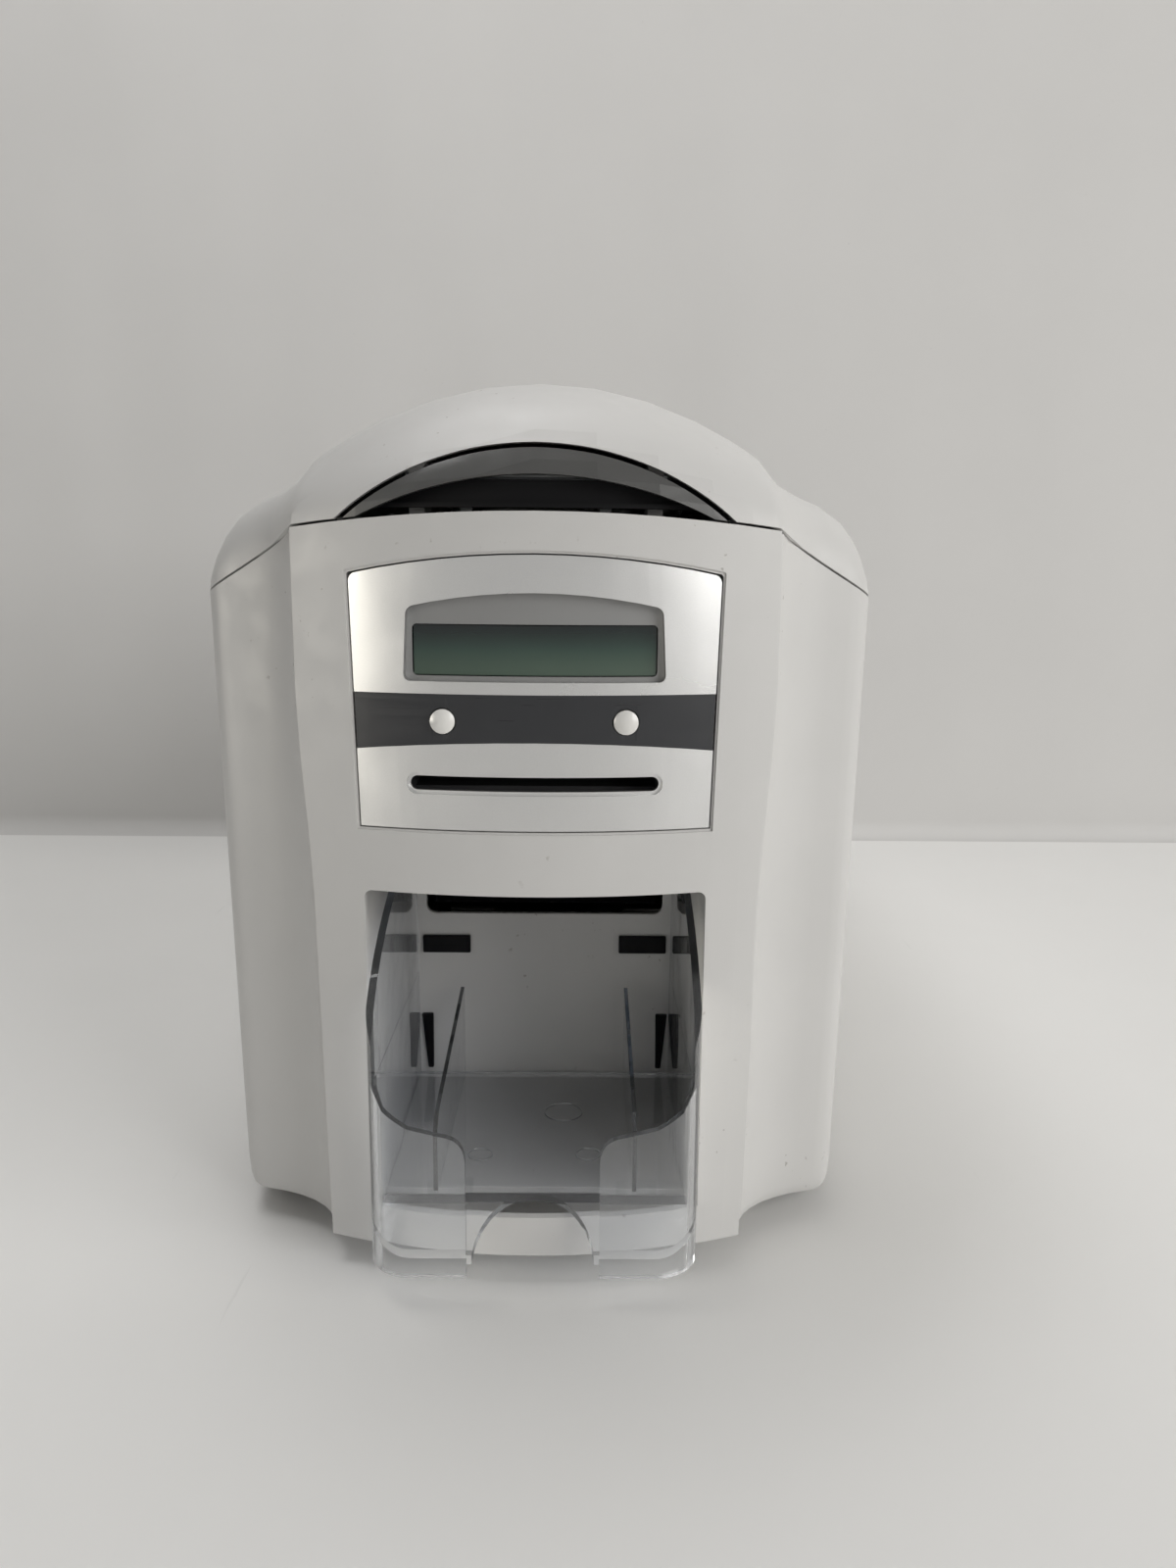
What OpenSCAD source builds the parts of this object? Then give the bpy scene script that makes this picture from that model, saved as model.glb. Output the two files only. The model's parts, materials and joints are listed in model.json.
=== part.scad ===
/* [Casing] */
// Overall width of the casing, at its widest
casing_width = 220; // [216:1:226]
// Overall length, hopper included
casing_length = 453; // [450:1:456]
// Overall height at the crest of the lid
casing_height = 250; // [246:1:256]
// Height of the rubber feet
foot_height = 8; // [7:0.5:9]
// Wall thickness of the casing mouldings
wall = 2.5; // [2.2:0.1:2.8]
// Visible gap between the lid and the casing
lid_gap = 0.7; // [0.5:0.1:1.0]
// Radius of the bowed front, in plan
fascia_radius = 165; // [160:1:175]
// Half width of the front fascia at the top
crease_top = 64; // [63:0.5:65]
// Half width of the front fascia at the bottom
crease_bottom = 58.6; // [58:0.2:59.4]

/* [Card and control panel] */
// Length of a standard card
card_length = 85.6; // [85.6:0.1:86.0]
// Width of a standard card
card_width = 54; // [53.9:0.1:54.1]
// Height of the card path above the table
path_z = 141.8; // [141.4:0.1:142.2]
// Half width of the silver panel at its top corners
panel_top_half = 48.2; // [47.8:0.1:48.6]
// Half width of the silver panel at its bottom corners
panel_bottom_half = 46.4; // [46:0.1:46.8]
// Diameter of a push button
button_d = 6.4; // [6:0.1:6.8]
// Sideways distance of a push button from the middle
button_x = 23.7; // [23:0.1:24.5]
// Travel of a push button
button_travel = 0.8; // [0.6:0.1:0.8]

/* [Hopper] */
// Outer half width of the card hopper
hopper_half = 45; // [44.8:0.1:45.2]
// Distance that the hopper stands out in front of the fascia
hopper_reach = 12; // [11.5:0.1:12]
// Top of the hopper floor
hopper_floor_z = 25; // [24.8:0.1:25.4]
// Half width of the finger gap between the hopper's front walls
finger_half = 17.9; // [17:0.1:19]

/* [Drive] */
// Gear module
gear_module = 1; // [1:0.01:1.01]
// Teeth on each roller gear
roller_teeth = 24; // [24:1:24]
// Teeth on each idler gear
idler_teeth = 26; // [26:1:26]
// Teeth on the motor pinion
pinion_teeth = 12; // [12:1:12]
// Thinning of each tooth, for backlash
backlash = 0.35; // [0.3:0.05:0.4]

/* [Hidden] */

$fn = 48;
e = 0.01;
front_y = -casing_length / 2 + hopper_reach;
rear_y = casing_length / 2;
half_width = casing_width / 2;
under_z = foot_height;
// The lid meets the fascia here at the middle and at the crease
fascia_top_mid = 212;
fascia_top_side = 208;
// The lid's edge along the sides, at the front corner and at the rear
split_corner_z = 190.3;
split_rear_z = 188;
corner_half = 94.7;
corner_y = -172;
side_taper = 0.036;

function lerp(a, b, t) = a + (b - a) * t;
function clamp01(t) = max(0, min(1, t));
function smooth(t) = let (c = clamp01(t)) c * c * (3 - 2 * c);
// Quarter of an ellipse: 0 with an upright start, 1 from the far end on
function roundover(t) = let (c = 1 - clamp01(t)) sqrt(max(0, 1 - c * c));
function bezier(a, b, c, d, t) =
    a * pow(1 - t, 3) + 3 * b * t * pow(1 - t, 2) + 3 * c * t * t * (1 - t) + d * pow(t, 3);
function bezier_points(a, b, c, d, n) = [for (i = [0:n]) bezier(a, b, c, d, i / n)];
function reversed(list) = [for (i = [len(list) - 1:-1:0]) list[i]];
function mirrored(list) = [for (p = list) [-p[0], p[1]]];
function tail(list) = [for (i = [1:1:len(list) - 1]) list[i]];
function unit(v) = v / max(norm(v), 1e-9);

// ---- The casing's plan: bowed front, hollow cheek, rounded corner, bellied side, flat rear ----

function crease_x(z) =
    crease_bottom
    + (crease_top - crease_bottom) * (clamp01((z - under_z) / 93) / 3 + smooth((z - 101) / 67) * 2 / 3);
function fascia_y(x) = front_y + fascia_radius - sqrt(fascia_radius * fascia_radius - x * x);
function taper(z) = 1 - side_taper * (1 - clamp01((z - under_z) / (split_corner_z - under_z)));
function cheek_end(z) = [(corner_half - 7.5) * taper(z), corner_y - 9];
function corner(z) = [corner_half * taper(z), corner_y];

// From the crease to the corner: a cove, then a small round
function cheek(z) =
    let (a = [crease_x(z), fascia_y(crease_x(z))], b = cheek_end(z), c = corner(z))
    concat(
        bezier_points(a, a + [2.5, 12], b + [-14, -3.5], b, 7),
        tail(bezier_points(b, b + [4.5, 1.2], c + [-1, -5], c, 4))
    );
function side(z) =
    let (k = taper(z))
    concat(
        bezier_points(
            corner(z), [corner_half * k + 5, -120], [half_width * k, -60], [half_width * k, 15], 6
        ),
        tail(bezier_points(
            [half_width * k, 15], [half_width * k, 90], [104 * k, 150], [101 * k, rear_y - 20], 5
        )),
        tail(bezier_points(
            [101 * k, rear_y - 20], [100 * k, rear_y - 6], [94 * k, rear_y], [80 * k, rear_y], 5
        ))
    );
// Half plan from the crease to the middle of the rear, at height z
function half_plan(z) = concat(cheek(z), tail(side(z)), [[40, rear_y], [0, rear_y]]);

// Height of the lid's edge: along the fascia, down the cheek, then along the side
function split_front(x) =
    abs(x) <= crease_top
        ? lerp(fascia_top_mid, fascia_top_side, pow(x / crease_top, 2))
        : lerp(fascia_top_side, split_corner_z, (abs(x) - crease_top) / (corner_half - crease_top));
// The casing's own edge, cut lower at the rear for the lid's swing
function casing_top(x, y) = split_z(x, y) - lid_gap - 3.5 * smooth((y - 204) / 10);
function split_z(x, y) =
    lerp(split_front(min(abs(x), corner_half)), split_rear_z, smooth((y - corner_y) / 120));

// ---- Thick sheets: two grids of points, joined into one closed solid ----

function grid_normal(g, i, j) =
    let (
        n = len(g) - 1,
        m = len(g[0]) - 1,
        du = g[min(i + 1, n)][j] - g[max(i - 1, 0)][j],
        dv = g[i][min(j + 1, m)] - g[i][max(j - 1, 0)]
    )
    unit(cross(du, dv));
// Outward and level, for a point on the rim of a grid that is seen from above
function rim_normal(g, i, j) =
    let (
        n = len(g) - 1,
        m = len(g[0]) - 1,
        du = unit(g[min(i + 1, n)][j] - g[max(i - 1, 0)][j]),
        dv = unit(g[i][min(j + 1, m)] - g[i][max(j - 1, 0)]),
        across = j == 0 ? [du[1], -du[0], 0] : j == m ? [-du[1], du[0], 0] : [0, 0, 0],
        along = i == 0 ? [-dv[1], dv[0], 0] : i == n ? [dv[1], -dv[0], 0] : [0, 0, 0]
    )
    unit(across + along);
function on_rim(g, i, j) = i == 0 || j == 0 || i == len(g) - 1 || j == len(g[0]) - 1;
function level(v) = unit([v[0], v[1], 0]);
// The grid moved in by t. "wall": upright walls, ends kept level; "dome": level rim; "free": along normals
function inset_grid(g, t, form) = [
    for (i = [0:len(g) - 1]) [
        for (j = [0:len(g[0]) - 1])
            let (n = grid_normal(g, i, j), rim = on_rim(g, i, j))
            g[i][j] - t * (!rim || form == "free" ? n : form == "wall" ? level(n) : rim_normal(g, i, j))
    ]
];
module thick_sheet(outer, inner) {
    n = len(outer);
    m = len(outer[0]);
    points = concat([for (row = outer) each row], [for (row = inner) each row]);
    function o(i, j) = i * m + j;
    function p(i, j) = n * m + i * m + j;
    function quad(a, b, c, d) = [[a, b, c], [a, c, d]];
    faces = concat(
        [for (i = [0:n - 2], j = [0:m - 2]) each quad(o(i, j), o(i, j + 1), o(i + 1, j + 1), o(i + 1, j))],
        [for (i = [0:n - 2], j = [0:m - 2]) each quad(p(i, j), p(i + 1, j), p(i + 1, j + 1), p(i, j + 1))],
        [for (j = [0:m - 2]) each quad(o(0, j), p(0, j), p(0, j + 1), o(0, j + 1))],
        [for (j = [0:m - 2]) each quad(o(n - 1, j), o(n - 1, j + 1), p(n - 1, j + 1), p(n - 1, j))],
        [for (i = [0:n - 2]) each quad(o(i, 0), o(i + 1, 0), p(i + 1, 0), p(i, 0))],
        [for (i = [0:n - 2]) each quad(o(i, m - 1), p(i, m - 1), p(i + 1, m - 1), o(i + 1, m - 1))]
    );
    polyhedron(points, faces, convexity = 10);
}
// A side profile in (y, z), carried along x
module along_x(x0, x1) { translate([x0, 0, 0]) rotate([90, 0, 90]) linear_extrude(x1 - x0) children(); }
// A front outline in (x, z), carried along y
module along_y(y0, y1) { translate([0, y1, 0]) rotate([90, 0, 0]) linear_extrude(y1 - y0) children(); }
module block(low, high) { translate(low) cube(high - low); }
module rod(x0, x1, r, y, z) { translate([x0, y, z]) rotate([0, 90, 0]) cylinder(h = x1 - x0, r = r); }

// ---- Casing ----

body_levels = [0, 0.006, 0.02, 0.045, 0.17, 0.33, 0.5, 0.6, 0.7, 0.79, 0.88, 1];
foot_round = [1.8, 0.9, 0.35, 0.05];
shell_t = wall + 0.5;
// A point of the casing's side at a fraction f of its height
function shell_point(i, f) =
    let (
        top = half_plan(split_corner_z)[i],
        top_z = casing_top(top[0], top[1]),
        z = under_z + (top_z - under_z) * f,
        q = half_plan(z)[i]
    )
    [q[0], q[1], z];
module body_shell() {
    color("gainsboro") {
        right = [for (i = [0:len(half_plan(0)) - 1]) [for (f = body_levels) shell_point(i, f)]];
        whole = concat(right, tail([for (row = reversed(right)) mirrored3(row)]));
        outer = [
            for (i = [0:len(whole) - 1]) [
                for (j = [0:len(body_levels) - 1])
                    let (n = grid_normal(whole, i, j), r = j < len(foot_round) ? foot_round[j] : 0)
                    whole[i][j] - level(n) * r
            ]
        ];
        resize([0, 0, 0]) difference() {
            thick_sheet(outer, inset_grid(whole, shell_t, "wall"));
            block([-conn_half - 0.3, rear_y - 9, conn_low - 0.3], [conn_half + 0.3, rear_y + 1, conn_high + 0.3]);
            bowed(-4, wall + lid_gap / 2) block([-76, front_y - 5, 0], [76, front_y + 30, 290]);
        }
    }
}
function mirrored3(row) = [for (p = row) [-p[0], p[1], p[2]]];

// Floor of the casing: a tray inside the shell, open at the front for the hopper
pan_inset = shell_t + 0.2;
module pan_outline(grow) {
    q = half_plan(under_z);
    pts = concat(q, reversed(mirrored(q)));
    offset(delta = grow) polygon(pts);
}
module base_pan() {
    color("silver") {
        difference() {
            translate([0, 0, under_z]) linear_extrude(wall) pan_outline(-pan_inset);
            block([-50, front_y - 5, 0], [50, -122, 20]);
            for (i = [0:7], s = [-1, 1]) block([s * 52 - 16, 40 + i * 10, 0], [s * 52 + 16, 44 + i * 10, 20]);
            for (x = [-78, 78], y = [-160, 195]) translate([x, y, 0]) cylinder(h = 20, r = 3.1);
            for (x = [-90, 90], y = [-60, 60]) translate([x, y, 0]) cylinder(h = 20, r = 1.7);
        }
        for (x = [-70, 70]) block([x - 1, -120, under_z + wall - e], [x + 1, 195, under_z + 6]);
        for (y = [-121, 70, 150]) block([-90, y, under_z + wall - e], [90, y + 2, under_z + 6]);
        for (x = [-90, 90], y = [-60, 60]) translate([x, y, under_z + wall - e]) difference() {
            cylinder(h = 9, r = 4);
            translate([0, 0, -1]) cylinder(h = 11, r = 1.7);
        }
    }
}
module rubber_feet() {
    color("dimgray") for (x = [-78, 78], y = [-160, 195]) translate([x, y, 0]) {
        rotate_extrude() polygon([[0, 0], [7.5, 0], [9, 1.5], [9.5, foot_height], [0, foot_height]]);
        translate([0, 0, foot_height - e]) cylinder(h = wall + 2 * e, r = 3);
        translate([0, 0, foot_height + wall]) cylinder(h = 1.2, r1 = 3.9, r2 = 3.2);
    }
}
module casing_screws() {
    color("darkgray") for (x = [-90, 90], y = [-60, 60]) translate([x, y, under_z - 1.8]) {
        cylinder(h = 1.8, r = 3.2);
        cylinder(h = 10, r = 1.5);
    }
}

// ---- Front fascia and control panel ----

panel_low_z = 129.6;
panel_side_z = 195.6;
panel_mid_z = 200.6;
aperture_half = 46;
aperture_top_z = 112;
lip_top_z = 19.5;
slot_half = 32.6;
slot_height = 3.8;
lcd_low_z = 168.5;
lcd_high_z = 187.4;
lcd_mid_z = 191.1;
band_top_z = 165.3;
band_side_z = 150.1;
band_mid_z = 152.9;
button_z = 158.3;

// Height of an arc through (-half, side) and (half, side), with its crest at mid
function arc_points(half, side_h, mid_h, n) =
    let (rise = mid_h - side_h, r = (half * half + rise * rise) / (2 * rise))
    [for (i = [0:n]) let (x = lerp(half, -half, i / n)) [x, mid_h - r + sqrt(r * r - x * x)]];
module bowed(depth0, depth1) {
    // The layer between two depths behind the bowed front
    intersection() {
        children();
        difference() {
            translate([0, front_y + fascia_radius, 0]) cylinder(h = 300, r = fascia_radius - depth0, $fn = 180);
            translate([0, front_y + fascia_radius, -1])
                cylinder(h = 302, r = fascia_radius - depth1, $fn = 180);
        }
    }
}
module fascia_outline(inset) {
    steps = [for (i = [0:14]) lerp(under_z, fascia_top_side - lid_gap, i / 14)];
    right = [for (z = steps) [crease_x(z) - inset, z]];
    top = arc_points(crease_top - inset, fascia_top_side - lid_gap, fascia_top_mid - lid_gap, 12);
    polygon(concat(right, tail(top), tail(reversed(mirrored(right)))));
}
module fascia_side_ribs() {
    steps = [for (i = [0:14]) lerp(under_z + wall + 0.5, fascia_top_side - lid_gap - 2, i / 14)];
    for (s = [-1, 1])
        polygon(concat([for (z = steps) [s * (crease_x(z) - 2.8), z]],
            reversed([for (z = steps) [s * (crease_x(z) - 4.6), z]])));
}
module panel_outline(grow) {
    top = arc_points(panel_top_half + grow, panel_side_z + grow, panel_mid_z + grow, 12);
    polygon(concat([[panel_bottom_half + grow, panel_low_z - grow]], top,
        [[-panel_bottom_half - grow, panel_low_z - grow]]));
}
module aperture_outline(grow) {
    w = aperture_half + grow;
    top = aperture_top_z + grow;
    difference() {
        translate([-w, lip_top_z - grow]) square([2 * w, top - lip_top_z + grow]);
        for (s = [-1, 1]) translate([s * (w - 2.2), top - 2.2]) difference() {
            translate([s > 0 ? 0 : -3, 0]) square([3, 3]);
            circle(r = 2.2);
        }
    }
}
module front_fascia() {
    color("whitesmoke") difference() {
        union() {
            bowed(0, wall) along_y(front_y - 1, front_y + 20) fascia_outline(0);
            bowed(wall - 0.4, 9) along_y(front_y - 1, front_y + 26) fascia_side_ribs();
            bowed(wall - 0.4, 6) along_y(front_y - 1, front_y + 24) difference() {
                panel_outline(2.2);
                panel_outline(-1);
            }
            bowed(wall - 0.4, 6) along_y(front_y - 1, front_y + 24)
                for (z = [119, 123]) translate([-52, z]) square([104, 1.4]);
        }
        bowed(-1, 0.6) along_y(front_y - 2, front_y + 20) panel_outline(1);
        along_y(front_y - 2, front_y + 40) panel_outline(0.4);
        along_y(front_y - 2, front_y + 40) aperture_outline(0);
        block([-70, front_y, -1], [70, front_y + 30, under_z + e]);
    }
}
// Silver fascia round the display, the buttons and the hand-feed slot
module lcd_recess_outline(grow) {
    top = arc_points(33 + grow, lcd_high_z + grow, lcd_mid_z + grow, 10);
    polygon(concat([[34 + grow, lcd_low_z - grow]], top, [[-34 - grow, lcd_low_z - grow]]));
}
module band_outline(grow) {
    bottom = arc_points(panel_bottom_half + 3, band_side_z, band_mid_z, 10);
    intersection() {
        panel_outline(grow);
        polygon(concat([[60, band_top_z]], [[60, band_side_z]], bottom, [[-60, band_side_z], [-60, band_top_z]]));
    }
}
module slot_outline(grow) {
    h = slot_height / 2 + grow;
    translate([0, path_z]) {
        square([2 * (slot_half - slot_height / 2), 2 * h], center = true);
        for (s = [-1, 1]) translate([s * (slot_half - slot_height / 2), 0]) circle(r = h);
    }
}
module button_holes(r) {
    for (s = [-1, 1]) translate([s * button_x, front_y - 5, button_z]) rotate([-90, 0, 0]) cylinder(h = 30, r = r);
}
module control_panel() {
    color("lightgray") difference() {
        union() {
            bowed(0.6, 3) along_y(front_y - 1, front_y + 20) panel_outline(0);
            bowed(3 - e, 6) along_y(front_y - 1, front_y + 24) difference() {
                panel_outline(-1);
                panel_outline(-2.6);
            }
            for (s = [-1, 1]) translate([s * 42, front_y + 7.1, 137]) rotate([-90, 0, 0]) difference() {
                cylinder(h = 3.9, r = 3);
                translate([0, 0, 1.6]) cylinder(h = 3, r = 1.2);
            }
        }
        along_y(front_y - 2, front_y + 30) lcd_recess_outline(0);
        bowed(0, 1.2) along_y(front_y - 2, front_y + 20) band_outline(1);
        bowed(-1, 1.6) along_y(front_y - 2, front_y + 20) slot_outline(1);
        along_y(front_y - 2, front_y + 30) slot_outline(0);
        button_holes(button_d / 2 + 0.3);
    }
}
module panel_band() {
    color("dimgray") difference() {
        bowed(0.55, 1.15) along_y(front_y - 1, front_y + 20) band_outline(-0.1);
        button_holes(button_d / 2 + 0.3);
    }
}
// A framed window set back in the display recess
module lcd_window() {
    color("darkslategray") bowed(3.2, 4.8) along_y(front_y, front_y + 20) difference() {
        lcd_recess_outline(1.5);
        translate([-31.8, 169.8]) square([63.6, 13.3]);
    }
}
module lcd_module() {
    color("darkolivegreen") {
        block([-34, front_y + 8.8, 168.5], [34, front_y + 10.6, 187.5]);
        bowed(3.7, 11) block([-31.4, front_y, 170.1], [31.4, front_y + 9.5, 182.8]);
    }
    color("green") block([-38, front_y + 10.6 - e, 166.6], [38, front_y + 11.8, 192]);
}
module control_board() {
    color("darkgreen") difference() {
        block([-40, front_y + 12, 146], [40, front_y + 13.6, 165.8]);
        for (s = [-1, 1]) translate([s * 35, front_y + 11, 150]) rotate([-90, 0, 0]) cylinder(h = 5, r = 1.3);
    }
    color("black") for (s = [-1, 1]) {
        block([s * button_x - 3, front_y + 9.5, button_z - 3], [s * button_x + 3, front_y + 12.1, button_z + 3]);
        block([s * 8 - 4, front_y + 13.5, 150], [s * 8 + 4, front_y + 17, 156]);
    }
}
// Domed cap with a stem that meets the switch on the board
module push_button(x) {
    color("ghostwhite") translate([x, fascia_y(x), button_z]) rotate([-90, 0, 0]) {
        translate([0, 0, 0]) rotate_extrude() polygon(concat(
            [[0, 6.7]], [[1.4, 6.7], [1.4, 5], [button_d / 2, 5]],
            [for (i = [0:8]) let (r = button_d / 2 * (1 - i / 8)) [r, -1.1 + 0.9 * pow(r * 2 / button_d, 2)]]
        ));
    }
}
module button_left() { push_button(-button_x); }
module button_right() { push_button(button_x); }

// ---- Hopper and its bay ----

bay_half = 47.5;
bay_rear_y = -128;
hopper_rear_y = -132;
hopper_wall = 2.2;
hopper_front_y = -casing_length / 2;
hopper_corner_r = 12;
bay_floor_z = 19.5;

// White liner behind the fascia's opening, with the output slot in its rear wall
module hopper_bay() {
    color("whitesmoke") difference() {
        block([-bay_half - 2, front_y + 14, bay_floor_z - 2], [bay_half + 2, bay_rear_y + 2, 115]);
        block([-bay_half, front_y - 1, bay_floor_z], [bay_half, bay_rear_y, 113]);
        along_y(bay_rear_y - 5, bay_rear_y + 5) output_slot_outline(0);
    }
}
module output_slot_outline(grow) {
    hull() for (x = [-37.4, 37.4], z = [84.2, 102]) translate([x, z]) circle(r = 3 + grow, $fn = 24);
}
module card_stop_pads() {
    color("black") for (s = [-1, 1]) {
        block([s * 33.6 - 8.1, bay_rear_y - 1.6, 67.5], [s * 33.6 + 8.1, bay_rear_y, 73.6]);
        along_y(bay_rear_y - 1.6, bay_rear_y)
            polygon([[s * 38.6, 45.3], [s * 42.6, 45.3], [s * 40.6, 25.4], [s * 38.8, 25.4]]);
    }
}
module hopper_plan(inset) {
    r = hopper_corner_r - inset;
    for (s = [-1, 1]) translate([s * (hopper_half - hopper_corner_r), hopper_front_y + hopper_corner_r]) circle(r = r);
    w = hopper_half - inset;
    translate([-w, hopper_front_y + hopper_corner_r]) square([2 * w, hopper_rear_y - hopper_front_y - 12]);
    translate([-w + r, hopper_front_y + inset]) square([2 * (w - r), hopper_corner_r]);
}
// Side view of the hopper's walls: tall at the rear, swept down to the front
module hopper_side_view() {
    polygon(concat(
        [[-240, 9], [front_y - 1, 9], [front_y - 1, 20.5], [-212, hopper_floor_z - 2.5],
            [hopper_rear_y, hopper_floor_z - 2.5], [hopper_rear_y, 80], [-136, 106]],
        bezier_points([-152, 108], [-178, 104], [-216, 92], [-223.5, 68], 10),
        bezier_points([-224, 65], [-225, 60], [-226, 57], [-240, 56], 4)
    ));
}
// Front view of the front walls: low, with a round inner corner beside the finger gap
module hopper_front_view() {
    for (s = [0, 1]) mirror([s, 0]) difference() {
        polygon(concat(
            [[finger_half, 0], [finger_half, 40]],
            bezier_points([finger_half, 42], [finger_half, 47], [20, 49.5], [25, 50], 6),
            [[33, 52], [40, 56], [42.9, 62], [42.9, 120], [60, 120], [60, 0]]
        ));
    }
}
module hopper_tray() {
    color([0.75, 0.78, 0.8, 0.5]) {
        intersection() {
            translate([0, 0, 5]) linear_extrude(110) difference() {
                hopper_plan(0);
                hopper_plan(hopper_wall);
                translate([-hopper_half + hopper_wall, -180])
                    square([2 * (hopper_half - hopper_wall), 60]);
            }
            along_x(-60, 60) hopper_side_view();
            along_y(-235, -125) hopper_front_view();
        }
        hopper_floor();
        for (s = [-1, 1]) card_fin(s);
    }
}
// Upright fin that keeps the cards square in the tray
module card_fin(s) {
    x = s * (card_width / 2 + 0.3 + 0.6);
    along_x(x - 0.6, x + 0.6) polygon([
        [hopper_rear_y - 1, hopper_floor_z - 1], [hopper_rear_y - 1, 56.5], [-205, 46.5],
        [-209, 43], [-209, hopper_floor_z - 1]
    ]);
}
// Flat floor, then a ramp down to the front walls, with a round finger notch
module hopper_floor() {
    difference() {
        intersection() {
            along_x(-60, 60) polygon([
                [hopper_rear_y, hopper_floor_z], [-211, hopper_floor_z], [-226, 15.5], [-226, 12.8],
                [front_y - 1, 20.3], [-212, hopper_floor_z - 2.5], [hopper_rear_y, hopper_floor_z - 2.5]
            ]);
            linear_extrude(60) hopper_plan(0.5);
        }
        translate([0, hopper_front_y - 1, 0]) cylinder(h = 60, r = 16.5);
        block([-16.5, -240, 0], [16.5, hopper_front_y, 60]);
    }
}

// ---- Card path: rollers, plates, gears ----

plate_x = 62;
plate_t = 1.5;
platen_y = -35;
pitch_y = 50;
roller_ys = [platen_y - pitch_y, platen_y, platen_y + pitch_y];
roller_r = 9;
shaft_r = 3;
card_t = 0.76;
lower_axis_z = path_z - card_t / 2 - roller_r;
pinch_r = 6;
upper_axis_z = path_z + card_t / 2 + pinch_r + 0.35;
gear_r = gear_module * roller_teeth / 2;
idler_r = gear_module * idler_teeth / 2;
pinion_r = gear_module * pinion_teeth / 2;
idler_ys = [platen_y - gear_r - idler_r, platen_y + gear_r + idler_r];
feed_ys = [platen_y - 2 * gear_r - 2 * idler_r, platen_y + 2 * gear_r + 2 * idler_r];
pinion_z = lower_axis_z - idler_r - pinion_r;
supply_pos = [52, 168];
take_up_pos = [-112, 164];
cleaning_y = 50;
pick_pos = [-112, 30];
bush_r = 5;
head_y = platen_y;

// Involute gear outline, its first tooth centred on +X
function involute(base, t) = [base * (cos(t) + t * PI / 180 * sin(t)), base * (sin(t) - t * PI / 180 * cos(t))];
module gear_profile(teeth, phase) {
    r = gear_module * teeth / 2;
    base = r * cos(20);
    tip = r + 0.9 * gear_module;
    root = r - 1.2 * gear_module;
    start = sqrt(max(0, pow(max(root, base) / base, 2) - 1)) * 180 / PI;
    stop = sqrt(pow(tip / base, 2) - 1) * 180 / PI;
    at_pitch = let (t = sqrt(pow(r / base, 2) - 1) * 180 / PI) involute(base, t);
    half_tooth = 90 / teeth - backlash / 2 / r * 180 / PI;
    turn = half_tooth + atan2(at_pitch[1], at_pitch[0]);
    flank = [for (i = [0:3]) involute(base, lerp(start, stop, i / 3))];
    tooth = concat(
        [[root * cos(turn), -root * sin(turn)]],
        [for (p = flank) [p[0] * cos(turn) + p[1] * sin(turn), p[1] * cos(turn) - p[0] * sin(turn)]]
    );
    whole = concat(tooth, reversed([for (p = tooth) [p[0], -p[1]]]));
    polygon([
        for (k = [0:teeth - 1]) let (a = k * 360 / teeth + phase)
        each [for (p = whole) [p[0] * cos(a) - p[1] * sin(a), p[0] * sin(a) + p[1] * cos(a)]]
    ]);
}
// A gear in the (y, z) plane, on an axis along x
module gear(teeth, phase, x, y, z, width, bore) {
    translate([x, y, z]) rotate([90, 0, 90]) difference() {
        linear_extrude(width) gear_profile(teeth, phase);
        if (bore > 0) translate([0, 0, -1]) cylinder(h = width + 2, r = bore);
        if (teeth > pinion_teeth) translate([0, 0, width - 1.5]) difference() {
            cylinder(h = 3, r = gear_module * teeth / 2 - 3);
            translate([0, 0, -1]) cylinder(h = 5, r = 5);
        }
    }
}
module plate_profile() {
    difference() {
        polygon([
            [-122, 15], [-122, 182], [-60, 182], [-56, 158], [-14, 158], [-10, 184], [74, 184], [74, 15],
            [40, 15], [34, 60], [-70, 60], [-76, 15]
        ]);
        for (y = roller_ys) translate([y, lower_axis_z]) circle(r = bush_r);
        for (y = feed_ys) translate([y, upper_axis_z]) circle(r = bush_r - 1.5);
        translate([cleaning_y, lower_axis_z]) circle(r = bush_r);
        translate(supply_pos) circle(r = bush_r);
        translate(take_up_pos) circle(r = bush_r);
        translate(pick_pos) circle(r = bush_r);
        for (p = tie_places) translate(p) circle(r = 2);
        for (y = [-52, -16]) translate([y, 152]) circle(r = 1.5);
        translate([34, 92]) circle(r = 12);
        translate([idler_ys[1], pinion_z]) circle(r = 6);
        translate([take_up_pos[0], take_up_pinion_z]) circle(r = 4);
        translate([-60, 90]) circle(r = 14);
        translate([58, 100]) square([10, 60], center = true);
    }
}
tie_places = [[-115, 100], [68, 60], [-95, 176]];
module side_plate(x) {
    color("lightslategray") along_x(x, x + plate_t) plate_profile();
    color("lightslategray") for (y = [-118, 44]) block([min(x, x + plate_t) - (x > 0 ? 10 : 0), y, under_z + 6.2],
        [max(x, x + plate_t) + (x > 0 ? 0 : 10), y + 26, under_z + 7.7]);
}
module left_side_plate() { side_plate(-plate_x - plate_t); }
module right_side_plate() { side_plate(plate_x); }
module tie_rods() {
    color("silver") for (p = tie_places) {
        rod(-plate_x - plate_t - 1, plate_x + plate_t + 1, 1.95, p[0], p[1]);
        rod(-plate_x, plate_x, 3, p[0], p[1]);
    }
}
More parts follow.
